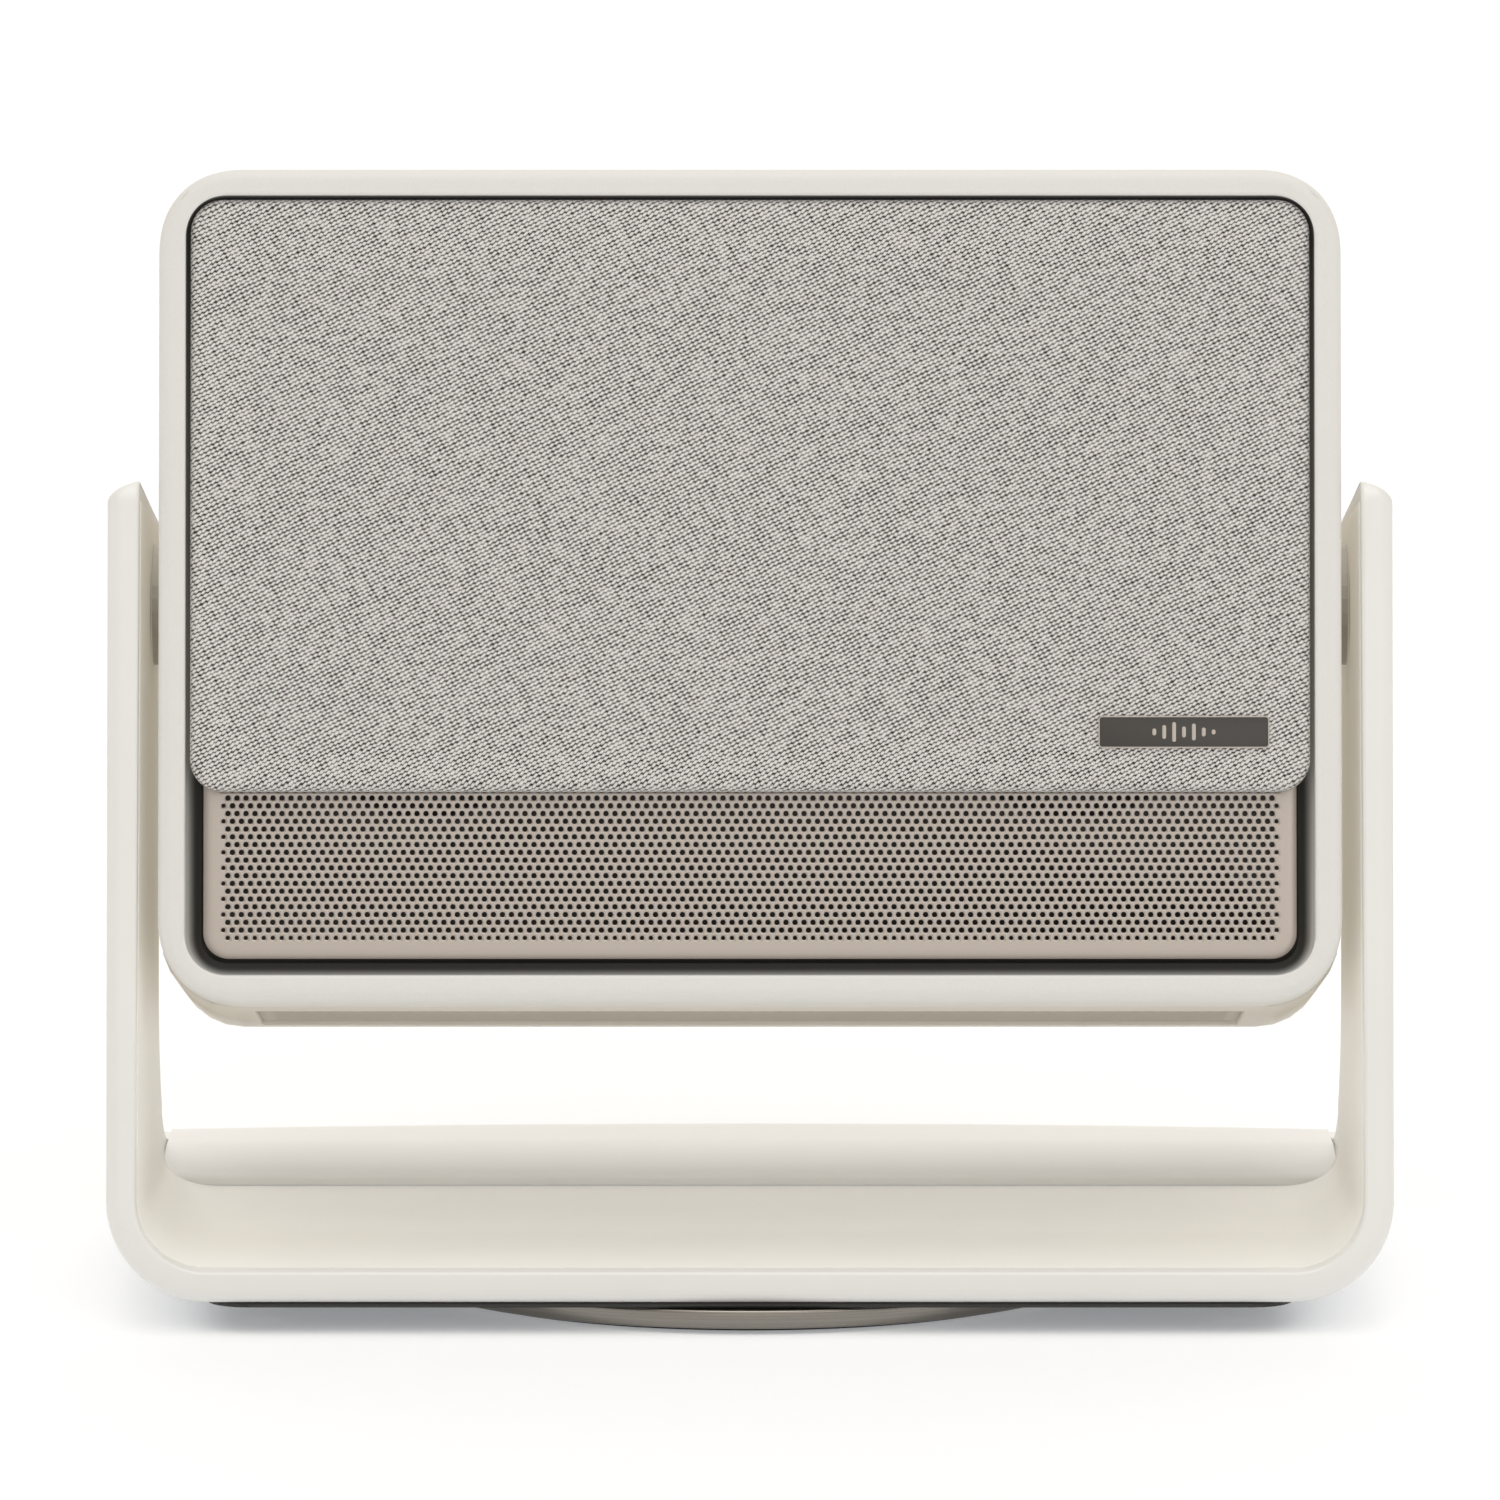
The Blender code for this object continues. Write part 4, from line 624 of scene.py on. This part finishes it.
def lattice_sheet(name, origin, upwards, counts, first_row, pitch, row_pitch, radius, edge_radius, rims):
    """One tile holds a hole: twelve points round a circle, joined to twelve on the tile's edge, which
    fall on the next rows' points although those rows are shifted by half a tile. Half tiles close
    the short rows, and a triangulated border runs out to the first rim. Quads join each rim, a loop
    of x and height and its drop behind the sheet, to the next."""
    behind = np.cross(upwards, (1.0, 0.0, 0.0))
    quarter = np.array([-0.5, -0.25, 0.0, 0.25])
    edge_x = np.concatenate([quarter, [0.5, 0.5], -quarter, [-0.5, -0.5]]) * pitch
    edge_z = np.concatenate([np.full(4, -0.5), [-0.5, 0.0], np.full(4, 0.5), [0.5, 0.0]]) * row_pitch
    aim = np.arctan2(edge_z, edge_x)
    row = np.arange(len(counts))
    wide = max(counts) / 2 * pitch
    centre_z = np.repeat(first_row + row * row_pitch, counts)
    centre_x = np.concatenate([(np.arange(count) - (count - 1) / 2) * pitch for count in counts])
    outermost = (np.abs(centre_x) > wide - 0.6 * pitch) | (centre_z < first_row + 1e-6)
    hole = np.where(outermost, edge_radius, radius)[:, None]
    tile_x = np.hstack([edge_x + 0 * hole, hole * np.cos(aim)]) + centre_x[:, None]
    tile_z = np.hstack([edge_z + 0 * hole, hole * np.sin(aim)]) + centre_z[:, None]
    step = np.arange(12)
    after = (step + 1) % 12
    quads = np.stack([step, after, after + 12, step + 12], axis=-1)
    faces = (np.arange(len(centre_x))[:, None, None] * 24 + quads).reshape(-1, 4)
    short_z = first_row + row[counts < max(counts)] * row_pitch
    half_x = np.array([0.0, 0.25, 0.5, 0.5, 0.5, 0.25, 0.0, 0.0]) * pitch
    half_z = np.array([-0.5, -0.5, -0.5, 0.0, 0.5, 0.5, 0.5, 0.0]) * row_pitch
    fill_x = np.stack([wide - pitch / 2 + half_x, pitch / 2 - wide - half_x])
    fill_x = np.broadcast_to(fill_x[:, None, :], (2, len(short_z), 8))
    fill_z = np.broadcast_to(short_z[None, :, None] + half_z, (2, len(short_z), 8))
    fill_faces = (len(centre_x) * 24 + np.arange(fill_x.size)).reshape(-1, 8)

    def placed(x, z, drop=0.0):
        flat = np.stack([x, 0 * x, 0 * x], axis=-1) + z[..., None] * upwards
        return origin + flat + np.asarray(drop)[..., None] * behind

    flat_x = np.concatenate([tile_x.ravel(), fill_x.ravel()])
    flat_z = np.concatenate([tile_z.ravel(), fill_z.ravel()])
    mesh = bpy.data.meshes.new(name)
    mesh.from_pydata(placed(flat_x, flat_z).tolist(), [], faces.tolist() + fill_faces.tolist())
    data = bmesh.new()
    data.from_mesh(mesh)
    bmesh.ops.remove_doubles(data, verts=data.verts, dist=1e-6)
    low, high = first_row - row_pitch / 2, first_row + (len(counts) - 0.5) * row_pitch
    middle, up = Vector(origin.tolist()), Vector(upwards.tolist())

    def at_lattice_edge(edge):
        place = (edge.verts[0].co + edge.verts[1].co) / 2 - middle
        height = place.dot(up)
        return edge.is_boundary and min(abs(abs(place.x) - wide), abs(height - low),
                                        abs(height - high)) < 1e-5

    inner = [edge for edge in data.edges if at_lattice_edge(edge)]
    loops = [[data.verts.new(place) for place in placed(x, z, drop + 0 * x)] for x, z, drop in rims]
    outer = loops[0]
    border = [data.edges.new(ends) for ends in zip(outer, outer[1:] + outer[:1])]
    bmesh.ops.triangle_fill(data, edges=border + inner, use_beauty=True)
    for near, far in zip(loops, loops[1:]):
        for corner in range(len(near)):
            data.faces.new((near[corner - 1], near[corner], far[corner], far[corner - 1]))
    bmesh.ops.recalc_face_normals(data, faces=data.faces)
    data.faces.ensure_lookup_table()
    if data.faces[0].normal.dot(Vector(behind.tolist())) > 0:
        bmesh.ops.reverse_faces(data, faces=data.faces)
    data.to_mesh(mesh)
    data.free()
    mesh.shade_smooth()
    mesh.set_sharp_from_angle(angle=math.radians(40))
    return mesh


def thickened(piece, thickness):
    """Give a sheet its thickness on the side away from its face."""
    wall = piece.modifiers.new("sheet thickness", "SOLIDIFY")
    wall.thickness = thickness
    wall.offset = -1.0


VENT_PITCH, VENT_ROW, VENT_HOLE = 0.0032, 0.00277, 0.0010
vent_low, vent_high = head_box("underside_vent")
vent_middle = (vent_low[1] + vent_high[1]) / 2
vent_half = (vent_high[1] - vent_low[1]) / 2
vent_rows = int((vent_half - 0.003) * 2 / VENT_ROW)
vent_counts = np.where(np.arange(vent_rows) % 2 == 0, 64, 65)
vent_origin = head_points(0.0, vent_middle, vent_low[2])
rim_x, rim_z = rounded_loop(vent_high[0], vent_half, 0.002, 5)
vent_first = (1 - vent_rows) / 2 * VENT_ROW
vent_sheet = lattice_sheet("vent_panel", vent_origin, -to_the_rear, vent_counts, vent_first, VENT_PITCH,
                           VENT_ROW, VENT_HOLE, VENT_HOLE, [(rim_x, rim_z, 0.0)])
vent_plastic = moulded("greige vent plastic", (0.50, 0.465, 0.405), 0.6)
thickened(add_piece("vent_panel", vent_sheet, vent_plastic, "head", "dark_plastic", "underside_vent"),
          vent_high[2] - vent_low[2])
smoothed("exhaust_grille", vent_plastic, "head", "dark_plastic")

# --- Sockets and boards -------------------------------------------------------------------------
# A black plate frames the plated steel sockets, which sit on the main board. The boards are fibre
# laminate under green solder mask, and the power supply is in a lacquered steel can.

smoothed("port_plate", black_plastic, "head", "dark_plastic")
socket_steel = machined("socket steel", (0.45, 0.45, 0.46), 0.4)
for node in ("power_inlet", "video_socket", "usb_socket", "audio_socket"):
    smoothed(node, socket_steel, "head", "steel")
solder_mask = Surface("green solder mask", (0.015, 0.11, 0.05), 0.35)
traces = solder_mask.cells(700.0, "DISTANCE_TO_EDGE")
solder_mask.colour(solder_mask.ramp(traces, 0.02, 0.06, (0.05, 0.2, 0.08), (0.012, 0.09, 0.04)))
for node in ("main_board", "switch_board"):
    smoothed(node, solder_mask.made, "head", "circuit_board")
smoothed("power_supply", black_lacquer, "head", "steel")

# --- Fan ----------------------------------------------------------------------------------------
# A square moulded housing with a seven-bladed rotor behind the exhaust grille.

smoothed("fan_housing", black_plastic, "head", "dark_plastic")
smoothed("fan_rotor", black_plastic, "fan", "dark_plastic")

# --- Projector optics ---------------------------------------------------------------------------
# A light engine in a black case with an extruded heat sink behind it, a lens barrel and a coated
# front lens. The gloss panel round the lens carries a tinted window over the sensors.

FLAT_FACED = 10.0  # large flat faces shade bent if their rounded corners are smoothed into them
fins = machined("extruded fins", (0.72, 0.72, 0.74), 0.4, 500.0)
gloss = Surface("gloss black panel", (0.008, 0.008, 0.009), 0.08)
gloss.roughness(gloss.noise(30.0), 0.05, 0.12)
gloss.typed("Coat Weight", 0.5)
tinted = Surface("tinted window glass", (0.02, 0.02, 0.025), 0.03)
tinted.typed("Transmission Weight", 0.6)
tinted.roughness(tinted.noise(40.0), 0.02, 0.05)
coated = Surface("coated lens glass", (0.35, 0.25, 0.55), 0.02)
coated.typed("Transmission Weight", 0.7)
coated.roughness(coated.noise(60.0), 0.01, 0.04)
for node, finish, slot in (("light_engine", black_plastic, "dark_plastic"),
                           ("heat_sink", fins, "fin_aluminium"),
                           ("lens_barrel", black_plastic, "dark_plastic"),
                           ("front_lens", coated.made, "lens_glass"),
                           ("lens_panel", gloss.made, "gloss_black"),
                           ("lens_window", tinted.made, "tinted_glass"),
                           ("distance_sensor", tinted.made, "tinted_glass")):
    smoothed(node, finish, "head", slot, FLAT_FACED)

# --- Loudspeakers -------------------------------------------------------------------------------
# Two drivers with lacquered steel baskets and pressed paper cones, each in its own sealed box,
# screwed to a black baffle that closes the head behind the grille.

paper = moulded("pressed cone paper", (0.04, 0.04, 0.04), 0.75, 0.00003)
smoothed("baffle", black_plastic, "head", "dark_plastic")
for side in ("left", "right"):
    smoothed(f"speaker_box_{side}", black_plastic, "head", "dark_plastic")
    smoothed(f"speaker_basket_{side}", black_lacquer, "head", "steel")
    smoothed(f"speaker_cone_{side}", paper, "head", "cone_paper")

# --- Cover drive --------------------------------------------------------------------------------
# The cover's carriage runs on two steel rails. A geared motor turns a brass pinion, which meshes
# with the rack on the carriage.

brass = machined("machined brass", (0.78, 0.6, 0.3), 0.3)
for node, finish, body, slot in (("rail_frame", black_lacquer, "head", "steel"),
                                 ("cover_motor", black_lacquer, "head", "steel"),
                                 ("cover_carriage", black_plastic, "front_cover", "dark_plastic"),
                                 ("cover_rack", black_plastic, "front_cover", "dark_plastic"),
                                 ("drive_pinion", brass, "pinion", "brass")):
    smoothed(node, finish, body, slot)

# --- Bezel --------------------------------------------------------------------------------------
# A moulded frame wrapped in thin, pale, embossed leather. The leather turns over a round outer edge,
# lies flat on the face and turns in at the mouth, where its colour fades to near black: painted shade
# in the groove.

def fine_leather(name, colour):
    """Embossed leather: round pebbles of half a millimetre, pores between them and soft creases."""
    made = Surface(name, colour, 0.5)
    pebbles = made.cells(1500.0)
    fine = made.noise(3200.0, 3.0, 0.6)
    stretch = made.node("ShaderNodeMapping")
    stretch.inputs["Rotation"].default_value = (0.0, math.radians(35), 0.0)
    stretch.inputs["Scale"].default_value = (330.0, 120.0, 90.0)
    made.link(made.places(), stretch.inputs["Vector"])
    crease = made.noise(1.0, 2.0, 0.5, stretch.outputs["Vector"], 0.6)
    where = made.ramp(made.noise(28.0, 1.0), 0.55, 0.72)
    soft = made.math("MULTIPLY", crease, where)
    hide = made.ramp(fine, 0.25, 0.8, tuple(value * 0.93 for value in colour), colour)
    # painted shade: the colour goes to near black where the mouth and the groove lie in shadow
    painted_groove_shade = made.node("ShaderNodeAttribute", attribute_name="painted_groove_shade")
    mix = made.node("ShaderNodeMix", data_type="RGBA")
    made.link(painted_groove_shade.outputs["Fac"], mix.inputs[0])
    made.link(hide, mix.inputs[6])
    # the near-black colour of the painted shade in the mouth and the groove
    mix.inputs[7].default_value = (0.035, 0.032, 0.026, 1.0)
    made.colour(mix.outputs[2])
    made.roughness(pebbles, 0.42, 0.6)
    made.bump(soft, 0.0001, 0.6)
    made.bump(pebbles, 0.00003, 0.8)
    made.bump(fine, 0.00002, 0.6)
    made.typed("Sheen Weight", 0.08)
    return made.made


bezel_low, bezel_high = head_box("bezel")
cover_foot = head_box("cover_cloth")[0][2]
HEAD_HALF, HEAD_TALL, HEAD_CORNER = bezel_high[0], bezel_high[2], 0.015


def bezel_mesh():
    """The head's outline, drawn in by an offset at each depth: a superelliptic outer edge, the face
    with a slight crown, a small inner edge, the straight mouth and a curve down into the groove."""
    turn = np.linspace(0.0, math.pi / 2, 14)
    face, rear = bezel_low[1], bezel_high[1]
    edge = 0.0032
    offset = [np.zeros(6), edge * (1 - np.cos(turn) ** 0.9), np.linspace(edge, 0.0050, 5)[1:-1],
              0.00575 - 0.00075 * (1 - np.sin(turn[:8] / turn[7] * math.pi / 2)), np.full(3, 0.00575),
              0.0089 - 0.00315 * np.cos(turn), [0.0063, 0.0063]]
    depth = [np.linspace(rear, face + edge, 7)[:-1], face + edge * (1 - np.sin(turn) ** 0.9),
             np.full(3, face), face + 0.0009 * (1 - np.cos(turn[:8] / turn[7] * math.pi / 2)),
             np.linspace(face + 0.002, face + 0.0064, 3), face + 0.0068 + 0.0066 * np.sin(turn),
             [face + 0.0134, rear]]
    offset, depth = np.concatenate(offset), np.concatenate(depth)
    corner = np.where(offset < 0.0056, HEAD_CORNER + 0.0035 - 1.5 * offset, HEAD_CORNER - offset)
    x, z = rounded_loop(HEAD_HALF - offset, HEAD_TALL - offset, corner, 22, 2.3)
    mesh = grid_mesh("leather_bezel", head_points(x, depth[:, None], z), close_u=True)
    add_painted_groove_shade(mesh)
    return mesh


def add_painted_groove_shade(mesh):
    """Marks painted shade, where the leather's colour fades to near black: 1 below the start depth and 0
    above it, over a millimetre or two. Beside the cover the painted shade starts near the mouth, and
    round the grille deep in the groove."""
    places = np.zeros(len(mesh.vertices) * 3)
    mesh.vertices.foreach_get("co", places)
    away = places.reshape(-1, 3) - tilt_axis
    below_face = away @ to_the_rear - bezel_low[1]
    height = away @ up_the_front
    inside = np.maximum(np.abs(away[:, 0]) - HEAD_HALF, np.abs(height) - HEAD_TALL) < -0.0051
    beside_cover = np.clip((height - cover_foot) / 0.004 + 1.0, 0.0, 1.0)
    start = 0.0100 - 0.0096 * beside_cover
    fade_length = 0.0028 - 0.0022 * beside_cover
    # painted shade: 1 where the leather is painted near black
    painted_groove_shade = np.where(inside, np.clip((below_face - start) / fade_length, 0.0, 1.0), 0.0)
    mesh.attributes.new("painted_groove_shade", "FLOAT", "POINT").data.foreach_set("value", painted_groove_shade)


add_piece("leather_bezel", bezel_mesh(), fine_leather("pale embossed leather", (0.705, 0.698, 0.675)),
          "head", "pale_leather", "bezel")

# --- Grille -------------------------------------------------------------------------------------
# Champagne-anodised aluminium sheet, a millimetre thick, punched with round holes on a triangular
# lattice, with its edges rolled back. The part that the cover never uncovers is left whole.

HOLE_PITCH, ROW_PITCH, HOLE_RADIUS, EDGE_HOLE_RADIUS = 0.001915, 0.0016565, 0.0006, 0.00048
GRILLE_ROWS, ROLL_WIDTH, ROLL_DROP = 21, 0.0022, 0.0008
grille_low, grille_high = head_box("grille")


def grille_rims():
    """Loops from the flat sheet out over its rolled edge: drawn in by the roll's width times one
    less the sine, and behind by its drop times one less the cosine, over a quarter turn. Only the
    lower corners are round; the upper ones lie behind the cover."""
    rims = []
    for turn in np.linspace(0.0, math.pi / 2, 7):
        inset = ROLL_WIDTH * (1 - math.sin(turn))
        half = grille_high[0] - inset
        x, z = rounded_loop(half, half, 0.0055 - inset * 0.9, 12)
        z = z + grille_high[0] + grille_low[2]
        lower = slice(len(x) // 2, None)
        x = np.concatenate([[half, -half], x[lower]])
        z = np.concatenate([[grille_high[2]] * 2, z[lower]])
        rims.append((x, z, ROLL_DROP * (1 - math.cos(turn))))
    return rims


def satin_champagne(name, colour):
    """Bead-blasted and anodised aluminium: a very fine grain and a satin, slightly warm reflection."""
    made = Surface(name, colour, 0.42, 0.75)
    grain = made.noise(5200.0, 2.0)
    made.colour(made.ramp(grain, 0.25, 0.75, tuple(value * 0.93 for value in colour), colour))
    made.roughness(grain, 0.38, 0.5)
    made.bump(grain, 0.000006)
    return made.made


champagne = satin_champagne("champagne anodised aluminium", (0.475, 0.425, 0.385))
FIRST_ROW, GRILLE_GAUGE = 0.00445, 0.0008
grille_counts = np.where(np.arange(GRILLE_ROWS) % 2 == 0, 117, 118)
grille_origin = head_points(0.0, grille_low[1], 0.0)
grille_sheet = lattice_sheet("punched_grille", grille_origin, up_the_front, grille_counts,
                             grille_low[2] + FIRST_ROW, HOLE_PITCH, ROW_PITCH, HOLE_RADIUS,
                             EDGE_HOLE_RADIUS, grille_rims())
thickened(add_piece("punched_grille", grille_sheet, champagne, "head", "champagne_metal", "grille"),
          GRILLE_GAUGE)

# --- Cover cloth --------------------------------------------------------------------------------
# Grey and natural yarn woven in a small diagonal basket, stretched over a stiff moulded tray with a
# thin foam, turned round its edges and glued inside. It keeps the tray's shape.

smoothed("cover_tray", black_plastic, "front_cover", "dark_plastic")
cloth_low, cloth_high = head_box("cover_cloth")
tray_rear = head_box("cover_tray")[1][1]
cloth_middle = (cloth_low[2] + cloth_high[2]) / 2
cloth_half, cloth_tall = cloth_high[0], (cloth_high[2] - cloth_low[2]) / 2
ROLL, CLOTH_GAUGE, COVER_CORNER, TRAY_SHOWS = 0.0016, 0.0004, 0.0065, 0.0007


def cloth_mesh():
    """A flat front whose rim rolls back by a quarter circle and runs on along the tray's side: the
    outline is drawn in by an offset at each depth. Its map is the flat cut in metres: the outline's
    place, moved outwards by the length along the roll."""
    turn = np.linspace(0.0, math.pi / 2, 9)
    offset = np.concatenate([np.linspace(0.012, ROLL, 8), ROLL * (1 - np.sin(turn[1:])), np.zeros(4)])
    side = np.linspace(0.0, tray_rear - TRAY_SHOWS - cloth_low[1] - ROLL, 5)[1:]
    depth = np.concatenate([np.zeros(8), ROLL * (1 - np.cos(turn[1:])), ROLL + side])
    crown = 0.00025 * np.clip(offset / 0.012, 0.0, 1.0)
    length = np.concatenate([-offset[:8], -ROLL + ROLL * turn[1:], -ROLL + ROLL * math.pi / 2 + side])
    corner = COVER_CORNER - np.minimum(offset, 0.005)
    x, z = rounded_loop(cloth_half - offset, cloth_tall - offset, corner, 14)
    cut_x, cut_z = rounded_loop(cloth_half + length, cloth_tall + length,
                                np.maximum(COVER_CORNER + length, 0.0015), 14)
    y = cloth_low[1] + 0.00025 - crown + depth
    points = head_points(x, y[:, None], z + cloth_middle)
    rows, columns = x.shape
    index = np.arange(rows * columns).reshape(rows, columns)
    around = np.hstack([index, index[:, :1]])
    quads = np.stack([around[:-1, :-1], around[:-1, 1:], around[1:, 1:], around[1:, :-1]], axis=-1)
    faces = quads.reshape(-1, 4).tolist() + [list(range(columns - 1, -1, -1))]
    mesh = bpy.data.meshes.new("woven_cover")
    mesh.from_pydata(points.reshape(-1, 3).tolist(), [], faces)
    mesh.update()
    corner = np.zeros(len(mesh.loops), int)
    mesh.loops.foreach_get("vertex_index", corner)
    flat_map = np.stack([cut_x.ravel(), cut_z.ravel()], axis=-1)[corner]
    mesh.uv_layers.new(name="flat cut").data.foreach_set("uv", flat_map.ravel())
    mesh.shade_smooth()
    return mesh


YARN_PITCH, YARN_ROW, TWILL_SLOPE = 0.00102, 0.00094, 26.5


def woven_cloth(name):
    """A diagonal weave on the flat cut. Rows climb to the right; each cell is one yarn's float. The
    gaps between rows, and most of all the crossings, are dark; every cell's darkness is its own."""
    made = Surface(name, (0.7, 0.69, 0.67), 0.85)
    cut = made.node("ShaderNodeUVMap", uv_map="flat cut").outputs[0]
    split = made.node("ShaderNodeSeparateXYZ")
    made.link(cut, split.inputs[0])
    wobble = made.noise(900.0, 2.0, 0.5, cut)
    sway = made.noise(240.0, 1.0, 0.5, cut)
    slip = made.math("MULTIPLY", made.math("SUBTRACT", wobble, 0.5), 0.75)
    slide = made.math("MULTIPLY", made.math("SUBTRACT", sway, 0.5), 1.1)
    column = made.math("ADD", made.math("MULTIPLY", split.outputs["X"], 1 / YARN_PITCH), slip)
    climb = made.math("MULTIPLY", split.outputs["X"], -math.tan(math.radians(TWILL_SLOPE)))
    row = made.math("MULTIPLY", made.math("ADD", split.outputs["Y"], climb), 1 / YARN_ROW)
    row = made.math("ADD", row, made.math("MULTIPLY", made.math("ADD", slip, slide), 0.45))
    shifted = made.math("ADD", column, made.math("MULTIPLY", made.math("FLOOR", row), 0.42))
    across = made.math("ABSOLUTE", made.math("SUBTRACT", made.math("FRACT", row), 0.5))
    along = made.math("ABSOLUTE", made.math("SUBTRACT", made.math("FRACT", shifted), 0.5))
    cell = made.node("ShaderNodeCombineXYZ")
    made.link(made.math("FLOOR", made.math("ADD", shifted, 0.5)), cell.inputs["X"])
    made.link(made.math("FLOOR", made.math("ADD", row, 0.5)), cell.inputs["Y"])
    chance = made.node("ShaderNodeTexWhiteNoise", noise_dimensions="2D")
    made.link(cell.outputs[0], chance.inputs["Vector"])
    gap = made.math("POWER", made.math("MULTIPLY", across, 2.0), 2.0)
    knot = made.math("POWER", made.math("MULTIPLY", along, 2.0), 2.2)
    depth = made.math("MULTIPLY", gap, made.math("MULTIPLY_ADD", knot, 1.9, 0.42))
    depth = made.math("ADD", depth, made.math("MULTIPLY", made.math("MULTIPLY", knot, knot), 0.3))
    depth = made.math("MULTIPLY", depth, made.math("MULTIPLY_ADD", chance.outputs["Value"], 0.9, 0.62))
    fibre = made.noise(6500.0, 2.0, 0.6, cut)
    shade = made.math("ADD", depth, made.math("MULTIPLY", made.math("SUBTRACT", fibre, 0.5), 0.35))
    tone = made.node("ShaderNodeValToRGB")
    tone.color_ramp.elements[0].position = 0.02
    tone.color_ramp.elements[0].color = (0.70, 0.68, 0.665, 1.0)
    tone.color_ramp.elements[1].position = 0.85
    tone.color_ramp.elements[1].color = (0.03, 0.027, 0.024, 1.0)
    middle = tone.color_ramp.elements.new(0.3)
    middle.color = (0.45, 0.435, 0.42, 1.0)
    made.link(shade, tone.inputs["Fac"])
    made.colour(tone.outputs["Color"])
    made.bump(made.math("SUBTRACT", 1.0, shade), 0.00012, 0.7)
    made.typed("Sheen Weight", 0.2)
    made.typed("Sheen Roughness", 0.5)
    made.typed("Specular IOR Level", 0.2)
    return made.made


cover_cloth = add_piece("woven_cover", cloth_mesh(), woven_cloth("grey woven cloth"),
                        "front_cover", "grey_cloth", "cover_cloth")
gauge = cover_cloth.modifiers.new("cloth gauge", "SOLIDIFY")
gauge.thickness = CLOTH_GAUGE
gauge.offset = -1.0

# --- Name plate ---------------------------------------------------------------------------------
# A small dark plate near the cover's lower right corner, with a thin champagne rim and a row of
# level bars in place of a name.

badge_low, badge_high = head_box("badge")
badge_x, badge_z = (badge_low[0] + badge_high[0]) / 2, (badge_low[2] + badge_high[2]) / 2
badge_half, badge_tall = badge_high[0] - badge_x, badge_high[2] - badge_z


def raised_plate(name, centre_x, centre_z, half, tall, radius, front, rear, edge=0.0001):
    """A thin plate with a round outline and a softened front edge."""
    offset = np.array([0.0, 0.0, 0.3 * edge, edge])
    depth = np.array([rear, front + edge, front + 0.3 * edge, front])
    x, z = rounded_loop(half - offset, tall - offset, np.maximum(radius - offset, 1e-5), 6)
    return grid_mesh(name, head_points(x + centre_x, depth[:, None], z + centre_z))


def rim_mesh(name, half, tall, radius, width, front, rear):
    """A flat rim: the outline and the same outline drawn in by the width, joined front and rear."""
    offset = np.array([0.0, 0.0, width, width])
    depth = np.array([rear, front, front, rear])
    x, z = rounded_loop(half - offset, tall - offset, np.maximum(radius - offset, 1e-5), 6)
    return grid_mesh(name, head_points(x + badge_x, depth[:, None], z + badge_z), close_u=True)


dark_satin = moulded("dark satin name plate", (0.035, 0.032, 0.028), 0.35, 0.000004)
PLATE_CORNER, BAR_PITCH = 0.0008, 0.0021
plate_front = badge_low[1] + 0.0002
plate_mesh = raised_plate("name_plate", badge_x, badge_z, badge_half, badge_tall, PLATE_CORNER,
                          plate_front, badge_high[1] + 0.0005)
add_piece("name_plate", plate_mesh, dark_satin, "front_cover", "dark_plastic", "badge")
plate_rim = rim_mesh("name_plate_rim", badge_half, badge_tall, PLATE_CORNER, 0.00025, badge_low[1],
                     plate_front + 0.00015)
add_piece("name_plate_rim", plate_rim, champagne, "front_cover", "champagne_metal")
for number, height in enumerate((0.35, 0.7, 1.0, 0.55, 0.85, 0.45, 0.25), 1):
    bar_x = badge_x + (number - 4) * BAR_PITCH
    bar = raised_plate(f"level_bar_{number}", bar_x, badge_z, 0.00042, height * badge_tall * 0.62, 0.0004,
                       badge_low[1] + 0.00005, plate_front + 0.0001, 0.00004)
    add_piece(f"level_bar_{number}", bar, champagne, "front_cover", "champagne_metal")

bpy.context.view_layer.update()
